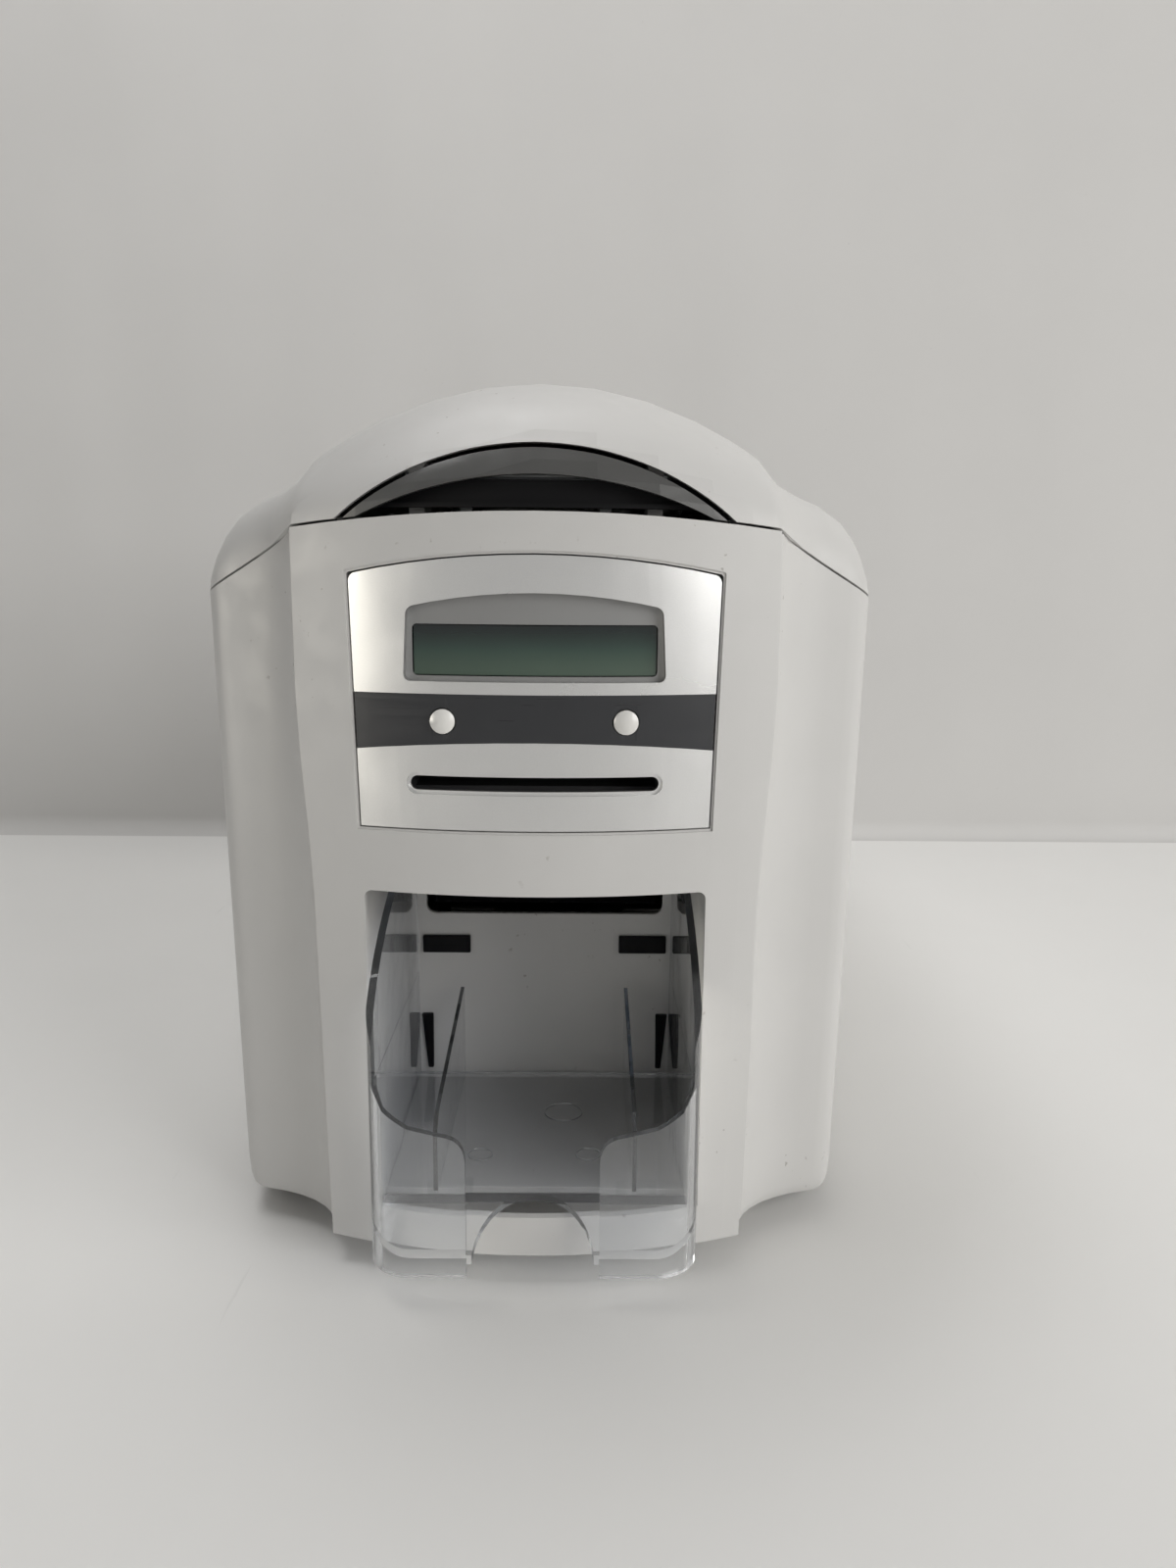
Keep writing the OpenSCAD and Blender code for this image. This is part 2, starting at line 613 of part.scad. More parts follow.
module bush(x, y, z, outer) {
    translate([x, y, z]) rotate([0, 90, 0]) difference() {
        union() {
            cylinder(h = plate_t, r = outer);
            translate([0, 0, x > 0 ? -1 : plate_t]) cylinder(h = 1, r = outer + 1.5);
        }
        translate([0, 0, -2]) cylinder(h = 6, r = (outer > 4 ? shaft_r : 2) + 0.05);
    }
}
module shaft_bushes() {
    color("goldenrod") for (x = [-plate_x - plate_t, plate_x]) {
        for (y = concat(roller_ys, [cleaning_y])) bush(x, y, lower_axis_z, bush_r);
        for (y = feed_ys) bush(x, y, upper_axis_z, bush_r - 1.5);
        bush(x, supply_pos[0], supply_pos[1], bush_r);
        bush(x, take_up_pos[0], take_up_pos[1], bush_r);
        bush(x, pick_pos[0], pick_pos[1], bush_r);
    }
}
// Rubber-covered roller on a steel shaft; the gear sits outside the right-hand plate
gear_x = plate_x + plate_t + 1.5;
module roller(y, z, r, half_len, tail_x, shaft) {
    color("silver") rod(-plate_x - plate_t - 2, tail_x, shaft, y, z);
    color("dimgray") rod(-half_len, half_len, r, y, z);
}
module geared_roller(y, r) {
    roller(y, lower_axis_z, r, 29, gear_x + 8, shaft_r);
    color("ivory") gear(roller_teeth, 0, gear_x, y, lower_axis_z, 6, 0);
}
module platen_roller() { geared_roller(roller_ys[1], roller_r); }
module front_feed_roller() { geared_roller(roller_ys[0], roller_r); }
module rear_feed_roller() { geared_roller(roller_ys[2], roller_r); }
module cleaning_roller() {
    roller(cleaning_y, lower_axis_z, roller_r, 28, plate_x + plate_t + 2, shaft_r);
}
module front_pinch_roller() { roller(feed_ys[0], upper_axis_z, pinch_r, 28, plate_x + plate_t + 2, 2); }
module rear_pinch_roller() { roller(feed_ys[1], upper_axis_z, pinch_r, 28, plate_x + plate_t + 2, 2); }
module pick_roller() {
    color("silver") rod(-plate_x - plate_t - 2, plate_x + plate_t + 2, shaft_r, pick_pos[0], pick_pos[1]);
    color("dimgray") for (s = [-1, 1]) rod(s * 12 - 5, s * 12 + 5, 9, pick_pos[0], pick_pos[1]);
}
module idler(y) {
    color("ivory") gear(idler_teeth, 180 / idler_teeth, gear_x, y, lower_axis_z, 6, shaft_r + 0.05);
}
module idler_gear_front() { idler(idler_ys[0]); }
module idler_gear_rear() { idler(idler_ys[1]); }
module motor_pinion() {
    color("goldenrod") gear(pinion_teeth, 15, gear_x - 0.5, idler_ys[1], pinion_z, 7.5, 0);
    color("silver") rod(gear_x - 10, gear_x, 2, idler_ys[1], pinion_z);
}
// Idler stubs are riveted to the right-hand plate; the motor hangs inside it
module drive_motor() {
    color("silver") {
        difference() {
            rod(plate_x - 34, plate_x - 0.2, 17.5, idler_ys[1], pinion_z);
            rod(plate_x - 7, plate_x + 2, 2.05, idler_ys[1], pinion_z);
        }
        for (y = idler_ys) rod(plate_x + plate_t, gear_x + 8, shaft_r, y, lower_axis_z);
    }
    color("black") rod(plate_x - 40, plate_x - 34 + e, 10, idler_ys[1], pinion_z);
}

// ---- Lid: raised centre band, lower rounded shoulders ----

cheek_line = cheek(split_corner_z);
side_line = side(split_corner_z);
function cheek_y(x) = lookup(x, [for (p = cheek_line) p]);
function side_x(y) = y <= corner_y ? corner_half : lookup(y, [for (p = side_line) [p[1], p[0]]]);
band_front_r = 64;
band_arch_r = 112;
rear_round = 24;
shoulder_round = 16;
lid_depths = [0, 0.4, 1.5, 3.4, 6, 9.5, 14, 20, 28, 38, 50, 64, 90, 130, 180, 235, 290, 340, 375, 398, 412, 422, 430, 436, 439.4, 441];
column_insets = [0, 0.012, 0.045, 0.1, 0.18, 0.3, 0.5, 0.75, 1];
band_columns = [1, 0.97, 0.88, 0.72, 0.5, 0.25, 0];
// How far down the slope towards the rear, from 0 at the crest to 1
function rear_fall(y) = pow(max(0, y + 130) / 356, 2);
function crest(y) = casing_height - 24 * rear_fall(y);
function shoulder_top(x, y) = casing_height - 27.5 - 18.5 * rear_fall(y) - (0.46 - 0.3 * rear_fall(y)) * (x - 66);
function band_half(d) = crease_top - 0.4 - 2.8 * roundover(d / band_front_r);
function rear_roll(y) = roundover((rear_y - y) / rear_round);
function lid_y(yf, k) = yf + (rear_y - yf) * lid_depths[k] / 441;
function band_point(b, k) =
    let (
        yf = fascia_y(b * (crease_top - 0.4)),
        y = lid_y(yf, k),
        d = y - yf,
        x = b * band_half(d),
        low = split_z(x, y),
        top = crest(y) - band_arch_r + sqrt(band_arch_r * band_arch_r - x * x)
    )
    [x, y, low + (top - low) * roundover(d / band_front_r) * rear_roll(y)];
function shoulder_point(f, k) =
    let (
        xf = lerp(corner_half, crease_top + 0.4, f),
        yf = cheek_y(xf),
        y = lid_y(yf, k),
        d = y - yf,
        foot = crease_top + 0.4 + 1.4 * roundover(d / 30),
        sx = side_x(y),
        x = lerp(sx, foot, f),
        low = split_z(x, y),
        top = shoulder_top(x, y),
        roll = min(
            roundover(d / lerp(14, 40, f * f)) * roundover((sx - x) / shoulder_round),
            roundover((rear_y - y) / shoulder_round)
        )
    )
    [x, y, low + (top - low) * roll];
function lid_column_set() =
    let (left = concat(
        [for (f = column_insets) mirrored3([for (k = [0:len(lid_depths) - 1]) shoulder_point(f, k)])],
        [for (b = band_columns) mirrored3([for (k = [0:len(lid_depths) - 1]) band_point(b, k)])]
    ))
    concat(left, [for (i = [len(left) - 2:-1:0]) mirrored3(left[i])]);
// Height of the lid's inner face over the band
function lid_inside(x, y) = crest(y) - band_arch_r + sqrt(band_arch_r * band_arch_r - x * x) - wall;
lens_r = 79;
lens_top = 228.5;
lip_r = 105;
lip_top = 220.4;
latch_pivot = [-197, 221];
module lens(grow) {
    intersection() {
        translate([0, lens_top - lens_r]) circle(r = lens_r + grow, $fn = 160);
        translate([-80, 190]) square([160, 60]);
    }
}
module lid_shell() {
    skin = lid_column_set();
    color("whitesmoke") resize([0, 0, 0]) difference() {
        thick_sheet(skin, inset_grid(skin, wall, "dome"));
        along_y(-220, -192) lens(0);
        for (s = [-1, 1]) block([s * hinge_x - 11, rear_y - 5.5, 180], [s * hinge_x + 11, rear_y + 2, 198]);
    }
}
// Moulded frame inside the lid: carries the print head, the latch and the hinge arms
frame_low = 208;
frame_top = 210.5;
frame_half = 54;
frame_front = -190;
frame_rear = 168;
head_post_x = 22;
module lid_frame() {
    color("lightgray") difference() {
        union() {
            block([-frame_half, frame_front, frame_low], [frame_half, frame_rear, frame_top]);
            for (s = [-1, 1]) {
                block([s * (frame_half - 1.2) - 1.2, frame_front, 200], [s * (frame_half - 1.2) + 1.2, frame_rear, frame_low + e]);
                block([s * 31 - 2, latch_pivot[0] - 3.2, frame_low], [s * 31 + 2, frame_front + 4, latch_pivot[1] + 3.2]);
                block([s * 31 - 2, -202.5, scoop_low + 0.5], [s * 31 + 2, latch_pivot[0], scoop_top - 0.5]);
                for (y = [-120, -70, 0, 60, 120]) translate([s * 40, y, frame_top - e])
                    cylinder(h = lid_inside(44, max(y + 4, -130)) - frame_top - 0.8, r = 4);
            }
            for (y = [-150, -80, 20, 90, 122]) block([-frame_half, y, 202], [frame_half, y + 2, frame_low + e]);
        }
        for (x = [-20, 20], y = [-120, 50, 120]) translate([x, y, 190]) cylinder(h = 30, r = 9);
        rod(-40, 40, 2.05, latch_pivot[0], latch_pivot[1]);
        for (s = [-1, 1]) translate([s * head_post_x, head_y, 190]) cylinder(h = 30, r = 2.6);
        block([-28, -206, 190], [28, -196, 230]);
    }
}
hinge_axis = [220.5, 190];
hinge_x = 46;
hinge_r = 2;
barrel_r = 3.4;
// Arms from the lid to the hinge pins at the rear
module lid_hinge_arms() {
    color("silver") for (s = [-1, 1]) difference() {
        union() {
            rod(s * hinge_x - 3, s * hinge_x + 3, barrel_r, hinge_axis[0], hinge_axis[1]);
            along_x(s * hinge_x - 3, s * hinge_x + 3) polygon([
                [hinge_axis[0] - 2.4, hinge_axis[1] - 2.4], [hinge_axis[0] + 3, hinge_axis[1] + 1.6],
                [hinge_axis[0] + 1, 197], [205, 205], [168, frame_low - 0.1], [130, frame_low - 0.1],
                [130, 203], [198, 198]
            ]);
        }
        rod(s * hinge_x - 5, s * hinge_x + 5, hinge_r + 0.05, hinge_axis[0], hinge_axis[1]);
    }
}
module hinge_pins() {
    color("silver") for (s = [-1, 1])
        rod(s * hinge_x - 7.5, s * hinge_x + 7.5, hinge_r, hinge_axis[0], hinge_axis[1]);
}
module hinge_brackets() {
    color("lightslategray") for (s = [-1, 1]) {
        for (d = [-1, 1]) difference() {
            union() {
                rod(s * hinge_x + d * 5.5 - 1.5, s * hinge_x + d * 5.5 + 1.5, 3.2, hinge_axis[0], hinge_axis[1]);
                along_x(s * hinge_x + d * 5.5 - 1.5, s * hinge_x + d * 5.5 + 1.5) polygon([
                    [213, 150], [rear_y - shell_t - 0.1, 150], [rear_y - shell_t - 0.1, 178],
                    [hinge_axis[0] + 3.1, hinge_axis[1]], [hinge_axis[0] - 3.1, hinge_axis[1]], [215, 178]
                ]);
            }
            rod(s * hinge_x - 9, s * hinge_x + 9, hinge_r, hinge_axis[0], hinge_axis[1]);
        }
        block([s * hinge_x - 11, rear_y - shell_t - 3, 150], [s * hinge_x + 11, rear_y - shell_t - 0.1, 172]);
    }
}
// Dark scoop behind the handle, where the fingers go
scoop_top = 219.4;
scoop_low = 212.4;
module scoop_outline(inset) {
    intersection() {
        lens(1.2 - inset);
        translate([-60, scoop_low + inset]) square([120, scoop_top - scoop_low]);
    }
}
module handle_scoop() {
    color("black") difference() {
        bowed(5.4, 8.6) along_y(-220, -190) scoop_outline(0);
        bowed(4, 7.4) along_y(-222, -190) scoop_outline(1.2);
    }
}
// Lens-shaped handle, skinned to the lid's own surface
module latch_handle() {
    skin = lid_column_set();
    mid = floor(len(skin) / 2);
    near = [for (i = [mid - 6:mid + 6]) [for (k = [0:8]) skin[i][k]]];
    color("dimgray") {
        resize([0, 0, 0]) intersection() {
            thick_sheet(inset_grid(near, 0.3, "free"),
                inset_grid(near, 3, "free"));
            along_y(-220, -180) difference() {
                lens(-1.4);
                translate([0, lip_top - lip_r]) circle(r = lip_r, $fn = 160);
            }
        }
        for (s = [-1, 1]) along_x(s * 26 - 1.5, s * 26 + 1.5) difference() {
            union() {
                polygon([[-206.5, 221.4], [-203, 220.2], [-199.5, 218.4], latch_pivot, [-199.5, 223.4], [-203, 222.8], [-205.6, 222.4]]);
                translate(latch_pivot) circle(r = 3.2);
            }
            translate(latch_pivot) circle(r = 2);
        }
    }
}
module latch_shaft() { color("silver") rod(-34, 34, 2, latch_pivot[0], latch_pivot[1]); }
nose_y = -197.4;
ledge_gap = 1.2;
module latch_hooks() {
    color("silver") for (s = [-1, 1]) along_x(s * 18 - 1.5, s * 18 + 1.5) difference() {
        union() {
            translate(latch_pivot) circle(r = 3.6);
            polygon([
                [-200.6, 221], [-195, 219], [-199.6, 206.4], [nose_y, 205.4], [nose_y, 204.4], [-200, 202.6],
                [-202.8, 203.6]
            ]);
        }
        translate(latch_pivot) circle(r = 2);
    }
}
// Strike behind the fascia's top edge; the hooks' noses stop just short of its ledge
module latch_strike() {
    color("lightslategray") {
        block([-13, front_y + wall + 0.7, 205.9], [13, -192.6, 207.5]);
        block([-24, nose_y + ledge_gap, 205.9], [24, -192.6, 207.5]);
        block([-24, -194.2, 199], [24, -192.6, 206]);
    }
}
head_low = path_z + 1.1;
module head_bracket() {
    color("silver") difference() {
        union() {
            block([-36, head_y - 12, 176], [36, head_y + 12, 178]);
            for (s = [-1, 1]) block([s * 35 - 1, head_y - 12, 160], [s * 35 + 1, head_y + 12, 178]);
            for (s = [-1, 1]) translate([s * head_post_x, head_y, 178 - e]) cylinder(h = 33, r = 2.5);
            for (s = [-1, 1]) translate([s * head_post_x, head_y, 210.8]) cylinder(h = 1.5, r = 4.5);
        }
        for (s = [-1, 1]) rod(s * 35 - 3, s * 35 + 3, 1.6, head_y, 164);
    }
}
module print_head() {
    color("darkslategray") along_x(-33, 33) polygon([
        [head_y - 10, 158], [head_y - 10, 151], [head_y - 5, head_low + 1.8], [head_y - 1.5, head_low],
        [head_y + 1.5, head_low], [head_y + 4, head_low + 2.2], [head_y + 10, 152], [head_y + 10, 158]
    ]);
    color("black") block([-14, head_y - 9, 158 - e], [14, head_y - 4, 162]);
}
module head_heatsink() {
    color("silver") {
        block([-33, head_y - 3, 158], [33, head_y + 10, 160.5]);
        for (i = [0:8]) block([-28.2 + i * 6.9, head_y + 2, 160.4], [-27 + i * 6.9, head_y + 10, 172]);
        for (s = [-1, 1]) {
            block([s * 32.4 - 0.6, head_y - 3, 160.4], [s * 32.4 + 0.6, head_y + 10, 172]);
            rod(s * 34.6 - 2, s * 34.6 + 2, 1.5, head_y, 164);
        }
    }
}
// Coil spring: one unbroken tube wound round a head post
module coil_spring(x, y, low, high, r, wire, turns) {
    per_turn = 10;
    sides = 6;
    rings = turns * per_turn;
    points = [
        for (i = [0:rings]) let (a = i * 360 / per_turn, z = lerp(low + wire, high - wire, i / rings))
        for (k = [0:sides - 1]) let (b = k * 360 / sides, q = r + wire * cos(b))
        [x + q * cos(a), y + q * sin(a), z + wire * sin(b)]
    ];
    faces = concat(
        [for (i = [0:rings - 1], k = [0:sides - 1]) let (m = (k + 1) % sides)
            each [
                [i * sides + k, (i + 1) * sides + k, (i + 1) * sides + m],
                [i * sides + k, (i + 1) * sides + m, i * sides + m]
            ]],
        [[for (k = [0:sides - 1]) k]],
        [[for (k = [sides - 1:-1:0]) rings * sides + k]]
    );
    polyhedron(points, faces);
}
module head_springs() {
    color("gray") for (s = [-1, 1])
        coil_spring(s * head_post_x, head_y, 178.2, frame_low - 0.2, 4, 0.7, 7);
}

// ---- Film, guides, electrics ----

module spool(pos, core, fill) {
    color("ivory") {
        rod(-plate_x - plate_t - 2, plate_x + plate_t + (fill > 14 ? 2 : 8), shaft_r, pos[0], pos[1]);
        rod(-37, 37, core, pos[0], pos[1]);
        for (s = [-1, 1]) rod(s * 36 - 1, s * 36 + 1, fill + 1.5, pos[0], pos[1]);
    }
    color("purple") rod(-34, 34, fill, pos[0], pos[1]);
}
module supply_spool() { spool(supply_pos, 7, 15); }
take_up_teeth = 24;
module take_up_spool() {
    spool(take_up_pos, 7, 10);
    color("ivory") gear(take_up_teeth, 0, gear_x, take_up_pos[0], take_up_pos[1], 6, 0);
}
take_up_pinion_z = take_up_pos[1] - gear_module * (take_up_teeth + pinion_teeth) / 2;
module take_up_pinion() {
    color("goldenrod") gear(pinion_teeth, 15, gear_x - 0.5, take_up_pos[0], take_up_pinion_z, 7.5, 0);
    color("silver") rod(gear_x - 10, gear_x, 2, take_up_pos[0], take_up_pinion_z);
}
module take_up_motor() {
    color("silver") difference() {
        rod(plate_x - 22, plate_x - 0.2, 8.5, take_up_pos[0], take_up_pinion_z);
        rod(plate_x - 7, plate_x + 2, 2.05, take_up_pos[0], take_up_pinion_z);
    }
}
guide_places = [[head_y - 17, 147.5], [head_y + 17, 148.5]];
module film_guide_rods() {
    color("silver") for (p = guide_places) rod(-plate_x, plate_x, 1.5, p[0], p[1]);
}
// Dye film: from the supply spool, under the guide rods and the head, to the take-up spool
module transfer_film() {
    low = path_z + 0.75;
    route = [
        [supply_pos[0] - 16.2, supply_pos[1] + 1], [guide_places[1][0] + 1, guide_places[1][1] - 2.2],
        [head_y + 2, low], [head_y - 2, low], [guide_places[0][0] - 1, guide_places[0][1] - 2.2],
        [take_up_pos[0] + 11.2, take_up_pos[1] + 1]
    ];
    color("purple") along_x(-32, 32)
        polygon(concat(route, reversed([for (p = route) p + [0, -0.2]])));
}
module hand_feed_guide() {
    color("dimgray") difference() {
        block([-36, front_y + 14, path_z - 6], [36, -96, path_z + 6]);
        along_x(-slot_half, slot_half) polygon([
            [front_y + 13, path_z - 2.6], [-180, path_z - 1], [-95, path_z - 1],
            [-95, path_z + 1], [-180, path_z + 1], [front_y + 13, path_z + 2.6]
        ]);
        for (i = [0:4]) block([-30 + i * 13, -190, path_z + 2.6], [-22 + i * 13, -104, path_z + 7]);
    }
}
module card_guide() {
    color("dimgray") for (span = [[-74, -46], [-24, 4], [26, 39]])
        block([-34, span[0], path_z - 4], [34, span[1], path_z - 1]);
    color("dimgray") for (s = [-1, 1])
        block([s * 33 - 1.5, -74, path_z - 5.8], [s * 33 + 1.5, 39, path_z - 3.9]);
    color("dimgray") for (y = [-60, -10])
        block([-plate_x + 0.1, y - 2, path_z - 5.8], [plate_x - 0.1, y + 2, path_z - 3.9]);
}
module output_chute() {
    color("dimgray") for (s = [0, 1]) along_x(s ? -38 : 36.5, s ? -36.5 : 38)
        polygon([[-124, 84], [-76, 118], [-76, 108], [-112, 84]]);
    color("dimgray") along_x(-36.6, 36.6) polygon([[-124, 84], [-76, 110], [-76, 108], [-120, 84]]);
}
module main_board() {
    color("darkgreen") difference() {
        block([-66, 84, 24], [66, 196, 25.6]);
        for (x = [-61, 61], y = [90, 190]) translate([x, y, 20]) cylinder(h = 10, r = 1.7);
    }
    color("black") for (p = [[-30, 110, 16], [5, 140, 10], [38, 115, 12]])
        block([p[0] - p[2] / 2, p[1] - p[2] / 2, 25.5], [p[0] + p[2] / 2, p[1] + p[2] / 2, 28]);
    color("silver") for (i = [0:3]) translate([-50 + i * 12, 165, 25.5]) cylinder(h = 12, r = 4);
    color("white") for (i = [0:2]) block([10 + i * 18, 92, 25.5], [22 + i * 18, 97, 33]);
    color("gold") for (x = [-61, 61], y = [90, 190]) translate([x, y, under_z + wall])
        cylinder(h = 24 - under_z - wall + e, r = 3);
}
conn_half = 62;
conn_low = 24;
conn_high = 62;
// Recessed panel in the rear wall, with the connectors' openings
inlet_pos = [-40, 42];
usb_pos = [0, 40];
net_pos = [28, 41];
rocker_low_x = inlet_pos[0] + 14;
rocker_high_x = inlet_pos[0] + 24;
rocker_y = 209;
module connector_panel() {
    color("dimgray") {
        difference() {
            union() {
                block([-conn_half, 212, conn_low], [conn_half, rear_y - 0.5, conn_high]);
                block([rocker_low_x - 2.4, 202, inlet_pos[1] - 10.4], [rocker_high_x + 2.4, 212 + e, inlet_pos[1] + 10.4]);
            }
            block([-conn_half + 2, 214, conn_low + 2], [conn_half - 2, rear_y + 1, conn_high - 2]);
            translate([inlet_pos[0], 220, inlet_pos[1]]) rotate([90, 0, 0]) cylinder(h = 20, r = 6.05);
            block([usb_pos[0] - 6.3, 205, usb_pos[1] - 5.7], [usb_pos[0] + 6.3, 220, usb_pos[1] + 5.7]);
            block([net_pos[0] - 8.3, 205, net_pos[1] - 7.3], [net_pos[0] + 8.3, 220, net_pos[1] + 7.3]);
            block([rocker_low_x - 0.4, 200, inlet_pos[1] - 9], [rocker_high_x + 0.4, 230, inlet_pos[1] + 9]);
        }
        rod(rocker_low_x - 1, rocker_high_x + 1, 1, rocker_y, inlet_pos[1]);
    }
}
module dc_inlet() {
    color("black") translate([inlet_pos[0], 217, inlet_pos[1]]) rotate([90, 0, 0]) {
        difference() {
            union() {
                cylinder(h = 12, r = 6);
                cylinder(h = 2.4, r = 7.5);
            }
            translate([0, 0, -1]) cylinder(h = 10, r = 4.6);
        }
        translate([0, 0, 1]) cylinder(h = 9, r = 0.9);
    }
}
module port(x, z, w, h, depth) {
    difference() {
        block([x - w / 2, 216 - depth, z - h / 2], [x + w / 2, 216, z + h / 2]);
        block([x - w / 2 + 0.8, 218 - depth, z - h / 2 + 0.8], [x + w / 2 - 0.8, 217, z + h / 2 - 0.8]);
    }
}
module usb_socket() {
    color("silver") port(usb_pos[0], usb_pos[1], 12.4, 11.2, 14);
    color("white") block([usb_pos[0] - 3, 202.5, usb_pos[1] - 1.6], [usb_pos[0] + 3, 214, usb_pos[1] + 1.6]);
}
module network_socket() {
    color("silver") port(net_pos[0], net_pos[1], 16.4, 14.4, 16);
    color("gold") for (i = [0:7]) block([net_pos[0] - 4.3 + i * 1.15, 201, net_pos[1] + 4],
        [net_pos[0] - 3.8 + i * 1.15, 212, net_pos[1] + 6.5]);
}
// Rocker that tips on a pin through its middle
module power_rocker() {
    color("black") difference() {
        along_x(rocker_low_x, rocker_high_x) polygon([
            [206, inlet_pos[1] - 3], [213, inlet_pos[1] - 6.5], [216.6, inlet_pos[1] - 6.5],
            [215.4, inlet_pos[1]], [217.8, inlet_pos[1] + 6.5], [213, inlet_pos[1] + 6.5],
            [206, inlet_pos[1] + 3]
        ]);
        rod(rocker_low_x - 2, rocker_high_x + 2, 1.05, rocker_y, inlet_pos[1]);
    }
}

body_shell();
base_pan();
front_fascia();
control_panel();
panel_band();
lcd_window();
lcd_module();
control_board();
rubber_feet();
hopper_bay();
card_stop_pads();
hand_feed_guide();
left_side_plate();
right_side_plate();
tie_rods();
shaft_bushes();
drive_motor();
take_up_motor();
main_board();
connector_panel();
dc_inlet();
usb_socket();
network_socket();
casing_screws();
film_guide_rods();
hinge_brackets();
hinge_pins();
latch_strike();
card_guide();
output_chute();
transfer_film();
lid_shell();
lid_frame();
lid_hinge_arms();
handle_scoop();
head_bracket();
print_head();
head_heatsink();
head_springs();
latch_handle();
latch_shaft();
latch_hooks();
hopper_tray();
button_left();
button_right();
power_rocker();
platen_roller();
front_feed_roller();
rear_feed_roller();
cleaning_roller();
front_pinch_roller();
rear_pinch_roller();
pick_roller();
idler_gear_front();
idler_gear_rear();
motor_pinion();
supply_spool();
take_up_spool();
take_up_pinion();
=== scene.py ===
# %% [markdown]
# An id card printer stands on a desk: a tall narrow casing of light grey plastic, a silver panel with a
# display and two buttons on its bowed front, a dark handle let into an arched lid, and a clear tray that
# catches the cards. The sizes come from its solids, which are loaded as a fixed frame. The looks are
# built round them here, in metres, with the front facing -Y.

# %% Load the solids
import bpy
import bmesh
import json
import math
from mathutils import Matrix, Vector

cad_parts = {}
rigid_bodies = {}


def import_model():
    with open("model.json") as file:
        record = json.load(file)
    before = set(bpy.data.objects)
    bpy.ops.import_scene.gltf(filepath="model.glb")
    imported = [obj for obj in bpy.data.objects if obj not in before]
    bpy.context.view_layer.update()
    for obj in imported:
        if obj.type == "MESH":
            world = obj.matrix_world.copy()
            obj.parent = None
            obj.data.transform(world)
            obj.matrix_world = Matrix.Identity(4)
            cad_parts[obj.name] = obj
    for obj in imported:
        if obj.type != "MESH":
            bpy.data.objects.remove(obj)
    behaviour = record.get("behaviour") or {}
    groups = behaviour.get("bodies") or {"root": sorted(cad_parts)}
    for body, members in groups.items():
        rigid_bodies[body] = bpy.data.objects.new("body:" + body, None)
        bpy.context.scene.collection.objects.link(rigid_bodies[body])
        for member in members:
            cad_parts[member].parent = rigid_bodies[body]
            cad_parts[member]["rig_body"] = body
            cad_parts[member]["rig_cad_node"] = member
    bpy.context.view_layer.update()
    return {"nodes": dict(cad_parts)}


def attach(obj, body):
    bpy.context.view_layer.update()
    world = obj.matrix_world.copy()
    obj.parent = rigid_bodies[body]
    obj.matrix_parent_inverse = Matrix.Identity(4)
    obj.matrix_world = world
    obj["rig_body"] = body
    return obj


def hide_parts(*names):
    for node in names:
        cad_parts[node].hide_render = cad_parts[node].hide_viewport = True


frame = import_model()
nodes = frame["nodes"]

# %% [markdown]
# The camera comes first, because every later choice is judged through it. It stands close, a little above
# the top of the casing, and looks down by ten degrees, so the sides fall away towards the foot. A lens of
# 26 mm on a sheet 36 mm tall gives the same strong perspective as the picture of the real object.

# %% Camera
MM = 0.001
EYE = Vector((12.3, -504.8, 196.1)) * MM
PITCH_DOWN = math.radians(10.46)
TURN = math.radians(-0.33)
ROLL = math.radians(0.46)
FOCAL_PIXELS = 1163.7
PICTURE_HEIGHT = 1600
SENSOR = 36.0

lens = bpy.data.cameras.new("camera")
camera = bpy.data.objects.new("camera", lens)
bpy.context.scene.collection.objects.link(camera)
lens.sensor_width = SENSOR
lens.lens = FOCAL_PIXELS / PICTURE_HEIGHT * SENSOR
lens.clip_start = 0.01
camera.matrix_world = (Matrix.Translation(EYE) @ Matrix.Rotation(TURN, 4, "Z")
                       @ Matrix.Rotation(math.pi / 2 - PITCH_DOWN, 4, "X") @ Matrix.Rotation(ROLL, 4, "Z"))
bpy.context.scene.camera = camera
print("lens", round(lens.lens, 2), "mm")

# %% [markdown]
# Each finish is a small network of shader nodes. Wiring nodes by hand in code is long and hard to read, so
# one class wraps an output socket and lets it be added and multiplied like a number: `1 - dust * 0.4` makes
# its own Math nodes. Numbers alone are worked out in Python. Colours go through a Mix node, because a Math
# node would turn them grey.

# %% Sockets that do sums
class Wire:
    """An output socket of a material, ready for sums."""

    def __init__(self, finish, socket):
        self.finish, self.socket = finish, socket

    def _sum(self, operation, a, b):
        parts = [p.socket.type if isinstance(p, Wire) else None for p in (a, b)]
        if "RGBA" in parts:
            return self.finish.node("ShaderNodeMix", {"data_type": "RGBA", "blend_type": operation},
                                    {0: 1.0, 6: as_colour(a), 7: as_colour(b)}, output=2)
        if "VECTOR" in parts:
            return self.finish.node("ShaderNodeVectorMath", {"operation": operation},
                                    {0: as_vector(a), 1: as_vector(b)})
        return self.finish.node("ShaderNodeMath", {"operation": operation}, {0: a, 1: b})

    def __add__(self, other):
        return self._sum("ADD", self, other)

    def __radd__(self, other):
        return self._sum("ADD", other, self)

    def __sub__(self, other):
        return self._sum("SUBTRACT", self, other)

    def __rsub__(self, other):
        return self._sum("SUBTRACT", other, self)

    def __mul__(self, other):
        return self._sum("MULTIPLY", self, other)

    def __rmul__(self, other):
        return self._sum("MULTIPLY", other, self)


def as_colour(value):
    return (value, value, value, 1.0) if isinstance(value, (int, float)) else value


def as_vector(value):
    return (value, value, value) if isinstance(value, (int, float)) else value


